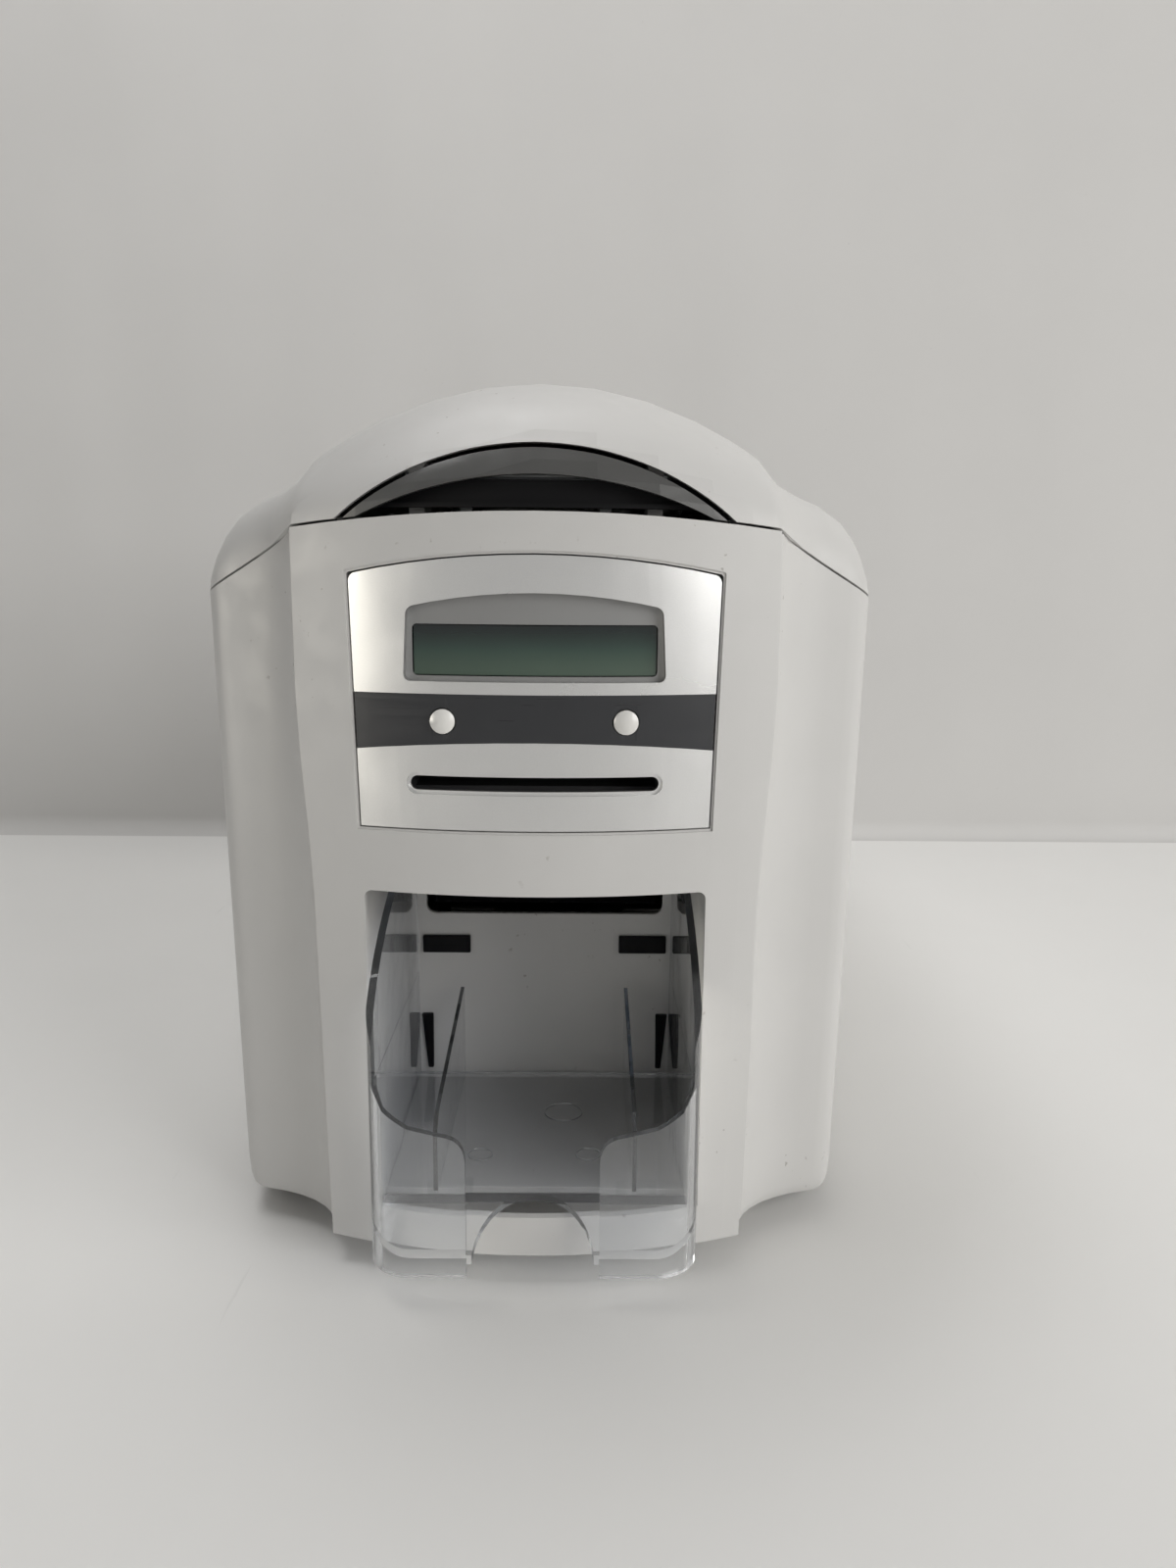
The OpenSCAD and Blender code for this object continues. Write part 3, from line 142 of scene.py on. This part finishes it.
def scaled(tint, share):
    """The same tint, that many times as bright."""
    return tuple(share * c for c in tint[:3]) + (1,)


print("sums of sockets ready")

# %% [markdown]
# A second class holds one finish while it is being wired. It knows the point being shaded in millimetres,
# because grain, specks and scratches are judged in millimetres on the real thing, and it has short names
# for the few nodes that come back in every finish: noise, a limited range, a colour ramp and a relief.

# %% One finish under construction
SOCKETS = {"colour": "Base Color", "roughness": "Roughness", "metal": "Metallic", "relief": "Normal",
           "clear": "Transmission Weight", "ior": "IOR", "coat": "Coat Weight",
           "coat_roughness": "Coat Roughness", "gloss": "Specular IOR Level"}


class Finish:
    """One material under construction: its tree, and the point being shaded, in millimetres."""

    def __init__(self, name):
        self.material = bpy.data.materials.new(name)
        self.material.use_nodes = True
        self.tree = self.material.node_tree
        self.tree.nodes.clear()
        place = self.node("ShaderNodeTexCoord", output="Object")
        self.place = self.node("ShaderNodeVectorMath", {"operation": "SCALE"}, {0: place, "Scale": 1 / MM})

    def node(self, kind, settings=None, inputs=None, output=0):
        """A node with its settings and inputs, given back as the wire of one output."""
        made = self.tree.nodes.new(kind)
        for key, value in (settings or {}).items():
            if key == "stops":
                ramp = made.color_ramp
                for at, colour in value[1:-1]:
                    ramp.elements.new(at).color = as_colour(colour)
                for end in (0, -1):
                    at, colour = value[end]
                    ramp.elements[end].position, ramp.elements[end].color = at, as_colour(colour)
            else:
                setattr(made, key, value)
        for key, value in (inputs or {}).items():
            if isinstance(value, Wire):
                self.tree.links.new(value.socket, made.inputs[key])
            else:
                made.inputs[key].default_value = value
        return None if output is None else Wire(self, made.outputs[output])

    def stretched(self, x, y, z):
        """The place with its axes scaled: a noise read there is longer along the smaller numbers."""
        return self.node("ShaderNodeVectorMath", {"operation": "MULTIPLY"}, {0: self.place, 1: (x, y, z)})

    def noise(self, size, detail=2.0, place=None, roughness=0.5):
        """Smooth random values from 0 to 1 whose blots are about that many millimetres across."""
        return self.node("ShaderNodeTexNoise", {}, {
            "Vector": place or self.place, "Scale": 1 / size, "Detail": detail, "Roughness": roughness})

    def ramp(self, value, *stops):
        return self.node("ShaderNodeValToRGB", {"stops": stops}, {"Fac": value})

    def limited(self, value, low, high, to_low=0.0, to_high=1.0):
        """A smooth step between two limits, which also sets the range that comes out."""
        return self.node("ShaderNodeMapRange", {"interpolation_type": "SMOOTHSTEP"}, {
            "Value": value, "From Min": low, "From Max": high, "To Min": to_low, "To Max": to_high})

    def mixed(self, share, first, second):
        return self.node("ShaderNodeMix", {"data_type": "RGBA"},
                         {0: share, 6: as_colour(first), 7: as_colour(second)}, output=2)

    def tinted(self, tint, tone):
        """A tint made lighter or darker by a varying tone around one."""
        return self.node("ShaderNodeCombineColor", {}, {0: tone, 1: tone, 2: tone}) * tint

    def axis(self, which):
        return self.node("ShaderNodeSeparateXYZ", {}, {0: self.place}, output=which)

    def bump(self, height, depth):
        """A relief of that many millimetres between a height of 0 and of 1."""
        return self.node("ShaderNodeBump", {}, {"Strength": 1.0, "Distance": depth * MM, "Height": height})

    def shown(self, shader, filling=None):
        sockets = {"Surface": shader, "Volume": filling} if filling else {"Surface": shader}
        self.node("ShaderNodeOutputMaterial", {}, sockets, output=None)
        return self.material

    def surface(self, **sockets):
        return self.shown(self.principled(**sockets))

    def principled(self, **sockets):
        return self.node("ShaderNodeBsdfPrincipled", {}, {SOCKETS[k]: v for k, v in sockets.items()})


print("finish class ready")

# %% [markdown]
# The casing is moulded in a warm light grey plastic whose mould was spark-eroded, so its surface has a fine
# even grain that breaks up reflections. One finish makes all the plain plastics here, from a tint, a
# roughness and the depth of the grain. Years on a counter leave faint grey clouds and a few rubbed specks,
# which come from noises far larger than the grain.

# %% Moulded plastics
CASING_GREY = (0.63, 0.623, 0.61, 1)
RUBBED_DIRT = (0.16, 0.13, 0.10, 1)
CLOUD_MM, HAZE_MM = 38, 9


def moulded(name, tint, roughness, grain=0.35, grain_depth=0.012, clouds=0.05, specks=0.0, coat=0.0,
            gloss=0.5):
    f = Finish(name)
    texture = f.noise(grain, 1.0)
    cloud = f.noise(CLOUD_MM, 4.0)
    tone = 1 - clouds + cloud * (2 * clouds)
    colour = f.tinted(tint, tone)
    if specks:
        dirt = f.limited(f.noise(2.4, 2.0), 0.70, 0.76) * f.limited(f.noise(60, 2.0), 0.50, 0.62) * specks
        colour = f.mixed(dirt, colour, RUBBED_DIRT)
    rough = f.limited(f.noise(HAZE_MM, 3.0), 0.3, 0.7, roughness - 0.05, roughness + 0.06)
    return f.surface(colour=colour, roughness=rough, relief=f.bump(texture, grain_depth), coat=coat,
                     coat_roughness=0.25, gloss=gloss)


palette = {
    "casing_plastic": moulded("casing_plastic", CASING_GREY, 0.46, specks=0.5),
    "inner_plastic": moulded("inner_plastic", (0.056, 0.056, 0.060, 1), 0.5, clouds=0.06),
    "black_plastic": moulded("black_plastic", (0.005, 0.005, 0.006, 1), 0.5, clouds=0.2, gloss=0.14),
    "button_plastic": moulded("button_plastic", (0.80, 0.79, 0.76, 1), 0.22, grain=0.2, grain_depth=0.002,
                              clouds=0.02, coat=0.6),
    "handle_plastic": moulded("handle_plastic", (0.074, 0.074, 0.072, 1), 0.33, grain=0.5, grain_depth=0.02,
                              clouds=0.12),
    "display_frame": moulded("display_frame", (0.27, 0.27, 0.268, 1), 0.4),
    "gear_plastic": moulded("gear_plastic", (0.62, 0.60, 0.52, 1), 0.42, grain=0.8, grain_depth=0.006),
    "rubber": moulded("rubber", (0.02, 0.02, 0.02, 1), 0.75, grain=0.3, grain_depth=0.02, clouds=0.25),
    "roller_rubber": moulded("roller_rubber", (0.045, 0.045, 0.05, 1), 0.6, grain=0.25, grain_depth=0.015,
                             clouds=0.2),
    "ceramic": moulded("ceramic", (0.66, 0.63, 0.56, 1), 0.25, grain=0.15, grain_depth=0.004),
}
print(len(palette), "moulded finishes")

# %% [markdown]
# The front panel is plastic sprayed with a silver paint. Its flakes are tiny aluminium plates that lie
# nearly flat, so it shines like soft metal with a grain far finer than a millimetre. A high metallic value
# with a medium roughness gives the sheen, and a noise tips each flake a little. The charcoal band is a
# printed film: dark, even and a little glossy.

# %% Paint and film
FLAKE_MM = 0.12
WEAR_MM = 30


def flake_paint(name, tint, roughness):
    f = Finish(name)
    flakes = f.noise(FLAKE_MM, 0.0)
    wear = f.limited(f.noise(WEAR_MM, 3.0), 0.35, 0.75, roughness - 0.03, roughness + 0.05)
    return f.surface(colour=f.tinted(tint, 0.93 + flakes * 0.14), metal=0.92, roughness=wear,
                     relief=f.bump(flakes, 0.006))


def printed_film(name, tint):
    f = Finish(name)
    streak = f.noise(1.0, 2.0, f.stretched(0.04, 0.04, 1.2))
    colour = f.mixed(f.noise(14, 2.0), tint, scaled(tint, 1.35))
    return f.surface(colour=colour, roughness=f.limited(streak, 0.2, 0.8, 0.27, 0.36),
                     relief=f.bump(f.noise(0.8, 1.0), 0.003))


palette["silver_paint"] = flake_paint("silver_paint", (0.70, 0.70, 0.695, 1), 0.30)
palette["charcoal_band"] = printed_film("charcoal_band", (0.022, 0.023, 0.026, 1))
print("paint and film")

# %% [markdown]
# The card tray is moulded in smoke-tinted polycarbonate. Light bends at both faces of its walls, and the
# tint darkens it with every millimetre of plastic that it crosses, so a wall looks pale where one looks
# through it and nearly black where one looks along it. A transmission near one, with an index close to
# polycarbonate's, does the bending, and a volume that absorbs does the tint. A clear wall would throw a
# black shadow into the bay, because light that bends isn't followed back to a lamp, so for shadows the
# wall counts as a plain tinted sheet. The display sits behind a dark green filter, on which a sheen is
# painted: its green is lighter near the foot and goes nearly black towards its top edge.

# %% Clear parts
POLYCARBONATE_IOR = 1.5
SMOKE = (0.26, 0.31, 0.38, 1)
SMOKE_DENSITY = 46
LIGHT_LET_THROUGH = (0.74, 0.745, 0.76, 1)
DISPLAY_FOOT, DISPLAY_TOP = 169.0, 184.0


def clear_plastic(name, tint, roughness, wave_depth):
    f = Finish(name)
    waves = f.noise(16, 1.0)
    scuffs = f.limited(f.noise(1.0, 2.0, f.stretched(0.9, 0.9, 0.08)), 0.68, 0.8) * 0.18
    walls = f.principled(colour=f.mixed(waves, tint, scaled(tint, 0.97)), clear=0.96,
                         ior=POLYCARBONATE_IOR, roughness=scuffs + roughness,
                         relief=f.bump(waves, wave_depth))
    inside = f.node("ShaderNodeVolumeAbsorption", {}, {"Color": SMOKE, "Density": SMOKE_DENSITY})
    lit_through = f.node("ShaderNodeBsdfTransparent", {}, {"Color": LIGHT_LET_THROUGH})
    shadow = f.node("ShaderNodeLightPath", output="Is Shadow Ray")
    return f.shown(f.node("ShaderNodeMixShader", {}, {0: shadow, 1: walls, 2: lit_through}), inside)


def display_filter_with_painted_sheen(name):
    f = Finish(name)
    # Painted sheen: by height alone, the green is lighter near the foot of the display and nearly black at
    # its top edge.
    height = f.limited(f.axis(2), DISPLAY_FOOT, DISPLAY_TOP)
    green = f.ramp(height + (f.noise(20, 2.0) - 0.5) * 0.12, (0.0, (0.075, 0.115, 0.085, 1)),
                   (0.50, (0.034, 0.066, 0.052, 1)), (1.0, (0.003, 0.006, 0.008, 1)))
    return f.surface(colour=green, roughness=f.limited(f.noise(6, 3.0), 0.3, 0.8, 0.10, 0.17), coat=0.25,
                     coat_roughness=0.08)


palette["clear_smoke"] = clear_plastic("clear_smoke", (0.97, 0.975, 0.98, 1), 0.02, 0.05)
palette["lcd_glass"] = display_filter_with_painted_sheen("lcd_glass")
print("clear parts")

# %% [markdown]
# The metals inside are seen when the lid is open. Zinc plate has soft pale spangles, which a cell pattern
# gives. Rolled aluminium has long fine lines, so its noise is stretched along the sheet. Turned bronze and
# the circuit board get their own small patterns. The dye film carries its panels of colour one after the
# other, so one ramp that starts again every 84 mm paints it.

# %% Metals, board and film
DYE_SET_MM = 84
YELLOW_DYE, RED_DYE = (0.75, 0.60, 0.03, 1), (0.55, 0.03, 0.20, 1)
BLUE_DYE, BLACK_DYE = (0.02, 0.28, 0.45, 1), (0.02, 0.02, 0.02, 1)


def plated(name, tint, roughness, spangle):
    f = Finish(name)
    cell = f.node("ShaderNodeTexVoronoi", {}, {"Vector": f.place, "Scale": 1 / spangle}, output="Color")
    tone = f.node("ShaderNodeSeparateColor", {}, {0: cell}, output=0)
    return f.surface(colour=f.mixed(tone, tint, scaled(tint, 0.8)), metal=1.0,
                     roughness=tone * 0.12 + roughness, relief=f.bump(f.noise(1.5, 2.0), 0.006))


def drawn_metal(name, tint, roughness, across):
    f = Finish(name)
    lines = f.noise(0.6, 3.0, f.stretched(*across))
    return f.surface(colour=f.mixed(lines, tint, scaled(tint, 0.85)), metal=1.0,
                     roughness=lines * 0.15 + roughness, relief=f.bump(lines, 0.01))


def printed_board(name):
    f = Finish(name)
    tracks = f.node("ShaderNodeTexBrick", {"offset": 0.4}, {
        "Vector": f.node("ShaderNodeMapping", {}, {"Vector": f.place, "Rotation": (0.3, 0.5, 0.1)}),
        "Scale": 0.22, "Mortar Size": 0.02, "Mortar Smooth": 0.4, "Brick Width": 1.1,
        "Row Height": 0.25, "Color1": (0.01, 0.07, 0.03, 1), "Color2": (0.012, 0.09, 0.035, 1),
        "Mortar": (0.05, 0.20, 0.08, 1)})
    return f.surface(colour=tracks, roughness=f.limited(f.noise(5, 2.0), 0.3, 0.7, 0.30, 0.42),
                     relief=f.bump(f.noise(1.2, 2.0), 0.02))


def dye_ribbon(name):
    f = Finish(name)
    along = f.node("ShaderNodeMath", {"operation": "FRACT"}, {0: f.axis(1) * (1 / DYE_SET_MM)})
    dyes = f.ramp(along, (0.0, YELLOW_DYE), (0.33, RED_DYE), (0.66, BLUE_DYE), (1.0, BLACK_DYE))
    return f.surface(colour=dyes, roughness=f.limited(f.noise(8, 2.0), 0.3, 0.7, 0.18, 0.30), coat=0.3)


palette.update({
    "zinc_steel": plated("zinc_steel", (0.56, 0.57, 0.58, 1), 0.34, 9.0),
    "aluminium": drawn_metal("aluminium", (0.72, 0.72, 0.73, 1), 0.30, (0.05, 1.0, 1.0)),
    "bronze": drawn_metal("bronze", (0.62, 0.42, 0.20, 1), 0.30, (1.5, 0.2, 0.2)),
    "circuit_board": printed_board("circuit_board"),
    "dye_film": dye_ribbon("dye_film"),
})
print(len(palette), "finishes in all")

# %% [markdown]
# The object stands on a pale table top, with a pale cloth hung close behind it. The cloth is a narrow plane
# whose rear edge is extruded up a small arc and then straight up, so it meets the table without a hard
# line. It is only there seen from its front: its back lets light and sight through, so that the rear of
# the object can be looked at too. Table and cloth are matt, so that no lamp shows as a blotch on them.

# %% Finish of the table and the cloth
FOLD_MM, BLOT_MM = 170, 90


def deselect_all():
    bpy.ops.object.select_all(action="DESELECT")


def select_only(obj):
    deselect_all()
    obj.select_set(True)
    bpy.context.view_layer.objects.active = obj


def pale_sheet(name, tint, depth, hangs):
    """A matt pale sheet: its relief follows upright folds where it hangs, else the blots of its tint."""
    f = Finish(name)
    blot = f.noise(BLOT_MM, 4.0)
    height = f.noise(FOLD_MM, 1.5, f.stretched(1.0, 1.0, 0.28)) if hangs else blot
    scratch = f.limited(f.noise(3.0, 3.0, f.stretched(1.0, 0.05, 1.0)), 0.72, 0.80) * 0.05
    front = f.principled(colour=f.mixed(blot, tint, scaled(tint, 0.97)) - scratch,
                         roughness=f.limited(blot, 0.3, 0.7, 0.85, 0.95), relief=f.bump(height, depth))
    through = f.node("ShaderNodeBsdfTransparent")
    behind = f.node("ShaderNodeNewGeometry", output="Backfacing")
    return f.shown(f.node("ShaderNodeMixShader", {}, {0: behind, 1: front, 2: through}))


print("finish of the sheets ready")

# %% [markdown]
# Both sheets start as a square plane, scaled to their length and width. The table top stays flat. For the
# cloth the rear edge of a narrow strip is picked, extruded ten times along a quarter circle and once more
# straight up, which is the way one would fold a real sheet up a wall.

# %% Table top and hung cloth
CLOTH_Y = 0.335
SWEEP = 0.012
SWEEP_STEPS = 10
CLOTH_HEIGHT = 2.2
TABLE_WHITE = (0.86, 0.855, 0.84, 1)
CLOTH_WHITE = (0.66, 0.652, 0.64, 1)


def start_plane(name, width, y_front, y_rear, z):
    """A flat sheet to shape further, selected and active."""
    deselect_all()
    bpy.ops.mesh.primitive_plane_add(size=1, location=(0, (y_front + y_rear) / 2, z))
    sheet = bpy.context.active_object
    sheet.name = name
    sheet.scale = (width, y_rear - y_front, 1)
    bpy.ops.object.transform_apply(location=True, rotation=True, scale=True)
    return sheet


table_top = start_plane("table_top", 8, -2.2, 3.5, -0.0006)
bpy.ops.object.mode_set(mode="EDIT")
bpy.ops.mesh.subdivide(number_cuts=3)
bpy.ops.object.mode_set(mode="OBJECT")
cloth = start_plane("hung_cloth", 7, CLOTH_Y - 0.004, CLOTH_Y, -0.0002)
bpy.ops.object.mode_set(mode="EDIT")
strip = bmesh.from_edit_mesh(cloth.data)
for edge in strip.edges:
    edge.select_set(all(v.co.y > CLOTH_Y - 0.001 for v in edge.verts))
strip.select_flush_mode()
bmesh.update_edit_mesh(cloth.data)
for step in range(SWEEP_STEPS):
    start, end = (math.pi / 2 * (step + k) / SWEEP_STEPS for k in (0, 1))
    bpy.ops.mesh.extrude_region_move(TRANSFORM_OT_translate={"value": (
        0, SWEEP * (math.sin(end) - math.sin(start)), SWEEP * (math.cos(start) - math.cos(end)))})
bpy.ops.mesh.extrude_region_move(TRANSFORM_OT_translate={"value": (0, 0, CLOTH_HEIGHT)})
bpy.ops.mesh.select_all(action="SELECT")
bpy.ops.mesh.normals_make_consistent(inside=False)
bpy.ops.object.mode_set(mode="OBJECT")
for sheet, tint, depth in ((table_top, TABLE_WHITE, 0.3), (cloth, CLOTH_WHITE, 9.0)):
    if sheet.data.polygons[0].normal.z < 0:
        sheet.data.flip_normals()
    select_only(sheet)
    bpy.ops.object.shade_smooth()
    sheet.data.materials.append(pale_sheet(sheet.name + "_white", tint, depth, sheet is cloth))
print("cloth of", len(cloth.data.polygons), "faces")

# %% [markdown]
# The light is a plain studio: a large soft panel on the right, like a window, a second one overhead, and a
# very weak warm bounce on the left. Large panels make soft shadows. A warm card on the left is there for
# reflections only: with the window it gives the silver paint a broad bright band at each side, and a
# darker middle that mirrors the room.

# %% Lights
def soft_panel(name, size, place, aim, watts, tint=(1, 1, 1)):
    data = bpy.data.lights.new(name, "AREA")
    data.shape, data.size, data.size_y = "RECTANGLE", size[0], size[1]
    data.energy, data.color = watts, tint
    panel = bpy.data.objects.new(name, data)
    bpy.context.scene.collection.objects.link(panel)
    panel.location = place
    panel.rotation_euler = (Vector(aim) - Vector(place)).to_track_quat("-Z", "Y").to_euler()
    return panel


soft_panel("window", size=(2.2, 1.5), place=(2.15, -1.6, 1.05), aim=(0, 0, 0.14), watts=46,
           tint=(1.0, 0.99, 0.97))
soft_panel("overhead", size=(1.2, 0.40), place=(-0.2, 0.14, 1.3), aim=(0, 0, 0.1), watts=7.2)
soft_panel("left_bounce", size=(0.7, 0.5), place=(-1.1, -0.72, 0.30), aim=(0, -0.1, 0.14), watts=0.15,
           tint=(1.0, 0.94, 0.82))
card = soft_panel("left_card", size=(0.5, 0.7), place=(-1.15, -0.80, 0.28), aim=(0, -0.15, 0.16),
                  watts=9.5, tint=(1.0, 0.95, 0.84))
card.visible_diffuse = False
print(len(bpy.data.lights), "lamps")

# %% [markdown]
# An even glow comes from everywhere else, as in a pale room. It lights the object, but a camera, a
# reflection or a look through the clear tray meets a plain mid grey instead. That way the room can be lit
# softly while what shows past the edge of the cloth stays calm.

# %% Glow of the room
GLOW_COLOUR, GLOW_STRENGTH = (0.80, 0.79, 0.77, 1), 0.23
SEEN_GREY = (0.50, 0.495, 0.485, 1)

world = bpy.data.worlds.new("even_glow")
world.use_nodes = True
sky = world.node_tree
glow = sky.nodes["Background"]
glow.inputs["Color"].default_value = GLOW_COLOUR
glow.inputs["Strength"].default_value = GLOW_STRENGTH
seen = sky.nodes.new("ShaderNodeBackground")
seen.inputs["Color"].default_value = SEEN_GREY
ray, choose = sky.nodes.new("ShaderNodeLightPath"), sky.nodes.new("ShaderNodeMixShader")
either = [sky.nodes.new("ShaderNodeMath") for _ in range(2)]
for node, first, kind in zip(either, (ray.outputs["Is Camera Ray"], either[0].outputs[0]),
                             ("Is Glossy Ray", "Is Transmission Ray")):
    node.operation = "MAXIMUM"
    sky.links.new(first, node.inputs[0])
    sky.links.new(ray.outputs[kind], node.inputs[1])
sky.links.new(either[1].outputs[0], choose.inputs[0])
sky.links.new(glow.outputs[0], choose.inputs[1])
sky.links.new(seen.outputs[0], choose.inputs[2])
sky.links.new(choose.outputs[0], sky.nodes["World Output"].inputs["Surface"])
bpy.context.scene.world = world
bpy.context.scene.view_settings.view_transform = "Standard"
print("glow ready, strength", GLOW_STRENGTH)

# %% [markdown]
# Every solid gets its finish by the name of its slot, so that two mouldings from the same plastic always
# look alike. The slot and the body of each solid are noted down here, because the copies made later need
# both.

# %% Finishes on the solids
slot_of = {name: obj.data.materials[0].name.split(".")[0] for name, obj in nodes.items()}
body_of = {name: obj["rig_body"] for name, obj in nodes.items()}
for name, obj in nodes.items():
    obj.data.materials[0] = palette[slot_of[name]]
print(len(slot_of), "solids painted in", len(set(slot_of.values())), "finishes")

# %% [markdown]
# The openings of the fascia, the silver panel and the display window have corners with a radius of a few
# millimetres, larger than on their other edges. Those corners are the edges that run from front to rear.
# They are picked by their place, and rounded with the bevel tool in edit mode.

# %% Round chosen corners
CORNER_LEAST_TURN = math.radians(25)
SHORTEST_EDGE = 0.2 * MM


def round_corners(obj, chosen, round_mm, steps=6):
    """Round the edges that run from front to rear and whose middle, in mm, is chosen."""
    select_only(obj)
    bpy.ops.object.mode_set(mode="EDIT")
    bpy.ops.mesh.select_mode(type="EDGE")
    bpy.ops.mesh.select_all(action="DESELECT")
    mesh = bmesh.from_edit_mesh(obj.data)
    count = 0
    for edge in mesh.edges:
        run = edge.verts[1].co - edge.verts[0].co
        middle = (edge.verts[0].co + edge.verts[1].co) / 2 / MM
        level = run.length > SHORTEST_EDGE and abs(run.y) > 0.98 * run.length
        if (level and len(edge.link_faces) == 2 and edge.calc_face_angle() > CORNER_LEAST_TURN
                and chosen(middle)):
            edge.select_set(True)
            count += 1
    bmesh.update_edit_mesh(obj.data)
    if count:
        bpy.ops.mesh.bevel(offset=round_mm * MM, segments=steps, affect="EDGES", clamp_overlap=True)
    bpy.ops.object.mode_set(mode="OBJECT")
    return count


print("corner tool ready")

# %% [markdown]
# Moulded parts have no knife edges: a mould is cut with a small round on each corner, and that round
# catches a thin line of light. So each visible solid is copied, its loose triangles are merged, and every
# corner sharper than 32 degrees is rounded with a bevel. On flat and evenly bowed pieces the shading
# normals are weighted by the size of the faces, which keeps a metal sheen free of patches. On the strongly
# curved pieces that would show the single faces, so they are left with plain smooth shading. The copy
# rides with the same body and stands for the solid.

# %% Copy a solid and round its edges
SHARP = math.radians(32)
SAME_PLANE = math.radians(0.4)
SAME_POINT = 1e-6


def rounded_copy(node, round_mm, corners=None, corner_mm=0.0, flats=True):
    """A copy of a solid with merged points and rounded corners, which takes the solid's place."""
    source = nodes[node]
    deselect_all()
    copy = source.copy()
    copy.data = source.data.copy()
    copy.parent = None
    copy.matrix_world = Matrix.Identity(4)
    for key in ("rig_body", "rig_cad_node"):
        if key in copy:
            del copy[key]
    bpy.context.scene.collection.objects.link(copy)
    copy.name = node + "_dressed"
    select_only(copy)
    bpy.ops.object.mode_set(mode="EDIT")
    bpy.ops.mesh.select_all(action="SELECT")
    bpy.ops.mesh.remove_doubles(threshold=SAME_POINT)
    bpy.ops.mesh.dissolve_limited(angle_limit=SAME_PLANE)
    bpy.ops.object.mode_set(mode="OBJECT")
    if corners:
        print(copy.name, "corners rounded:", round_corners(copy, corners, corner_mm))
    select_only(copy)
    bpy.ops.object.shade_smooth_by_angle(angle=SHARP)
    if round_mm:
        edge = copy.modifiers.new("round", "BEVEL")
        edge.width, edge.segments = round_mm * MM, 3
        edge.limit_method, edge.angle_limit = "ANGLE", SHARP
        edge.use_clamp_overlap = True
        edge.miter_outer = "MITER_ARC"
        edge.harden_normals = flats
        bpy.ops.object.modifier_apply(modifier="round")
    if flats:
        even = copy.modifiers.new("even", "WEIGHTED_NORMAL")
        even.keep_sharp = True
        even.weight = 90
        bpy.ops.object.modifier_apply(modifier="even")
    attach(copy, body_of[node])
    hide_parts(node)
    return copy


print("copying tool ready")

# %% [markdown]
# The eleven pieces that meet the eye first are dressed here. The first number is the round on the edges in
# millimetres: large on the casing and the tray, small on the thin silver panel, none on the printed band.
# Four tests say which corners get a radius of their own, in millimetres from the middle of the object and
# from the table.

# %% Dress the visible pieces
def panel_corner(middle):
    return abs(middle.x) > 48 and (middle.z < 121 or middle.z > 192)


def recess_corner(middle):
    return 30 < abs(middle.x) < 38 and 160 < middle.z < 200


def panel_or_recess(middle):
    return panel_corner(middle) or recess_corner(middle)


def opening_corner(middle):
    return abs(middle.x) > 44 and (112 < middle.z < 122 or 192 < middle.z < 206)


dressing = {
    "body_shell": dict(round_mm=0.8, flats=False),
    "front_fascia": dict(round_mm=0.45, corners=opening_corner, corner_mm=2.4),
    "lid_shell": dict(round_mm=0.7, flats=False),
    "control_panel": dict(round_mm=0.3, corners=panel_or_recess, corner_mm=2.2),
    "panel_band": dict(round_mm=0.0),
    "hopper_tray": dict(round_mm=0.8),
    "latch_handle": dict(round_mm=0.5, flats=False),
    "hopper_bay": dict(round_mm=0.5),
    "lcd_window": dict(round_mm=0.2, corners=recess_corner, corner_mm=1.3),
    "card_stop_pads": dict(round_mm=0.4),
    "base_pan": dict(round_mm=0.5),
}
for node, how in dressing.items():
    print(node, "->", len(rounded_copy(node, **how).data.polygons), "faces")

# %% [markdown]
# The clear tray shows three fine rings on its floor: two where the ejector pins of the mould pushed the
# moulding out, and a larger one where a turned insert sat in the mould. Each is a circle whose edge is
# extruded inwards to a flat ring, given its height with a solidify modifier and its soft edge with a bevel.
# One function makes them all, because only place and radius differ.

# %% Mould rings on the tray floor
RING_WIDTH = 0.45 * MM
RING_HEIGHT = 0.22 * MM
RING_SOFT_EDGE = 0.06 * MM
RING_POINTS = 56
TRAY_FLOOR = 25.0 * MM


def mould_ring(name, x, y, radius):
    deselect_all()
    bpy.ops.mesh.primitive_circle_add(vertices=RING_POINTS, radius=radius, fill_type="NOTHING",
                                      location=(x, y, TRAY_FLOOR + RING_HEIGHT))
    ring = bpy.context.active_object
    ring.name = name
    bpy.ops.object.transform_apply(location=True, rotation=True, scale=True)
    bpy.ops.object.mode_set(mode="EDIT")
    bpy.ops.mesh.select_all(action="SELECT")
    bpy.ops.mesh.extrude_region_move()
    inward = (radius - RING_WIDTH) / radius
    bpy.ops.transform.resize(value=(inward, inward, 1), center_override=(x, y, TRAY_FLOOR))
    bpy.ops.mesh.select_all(action="SELECT")
    bpy.ops.mesh.normals_make_consistent(inside=False)
    bpy.ops.object.mode_set(mode="OBJECT")
    if ring.data.polygons[0].normal.z < 0:
        ring.data.flip_normals()
    thick = ring.modifiers.new("height", "SOLIDIFY")
    thick.thickness, thick.offset = RING_HEIGHT, -1
    bpy.ops.object.modifier_apply(modifier="height")
    soft = ring.modifiers.new("soft", "BEVEL")
    soft.width, soft.segments = RING_SOFT_EDGE, 2
    bpy.ops.object.modifier_apply(modifier="soft")
    bpy.ops.object.shade_smooth_by_angle(angle=math.radians(40))
    ring.data.materials.append(palette["clear_smoke"])
    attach(ring, "hopper")
    return ring


for name, x, y, radius in (("left_pin_ring", -17.2, -189.4, 3.8), ("right_pin_ring", 15.0, -189.1, 3.8),
                           ("insert_ring", 7.2, -162.0, 6.2)):
    ring = mould_ring(name, x * MM, y * MM, radius * MM)
    print(name, len(ring.data.polygons), "faces")
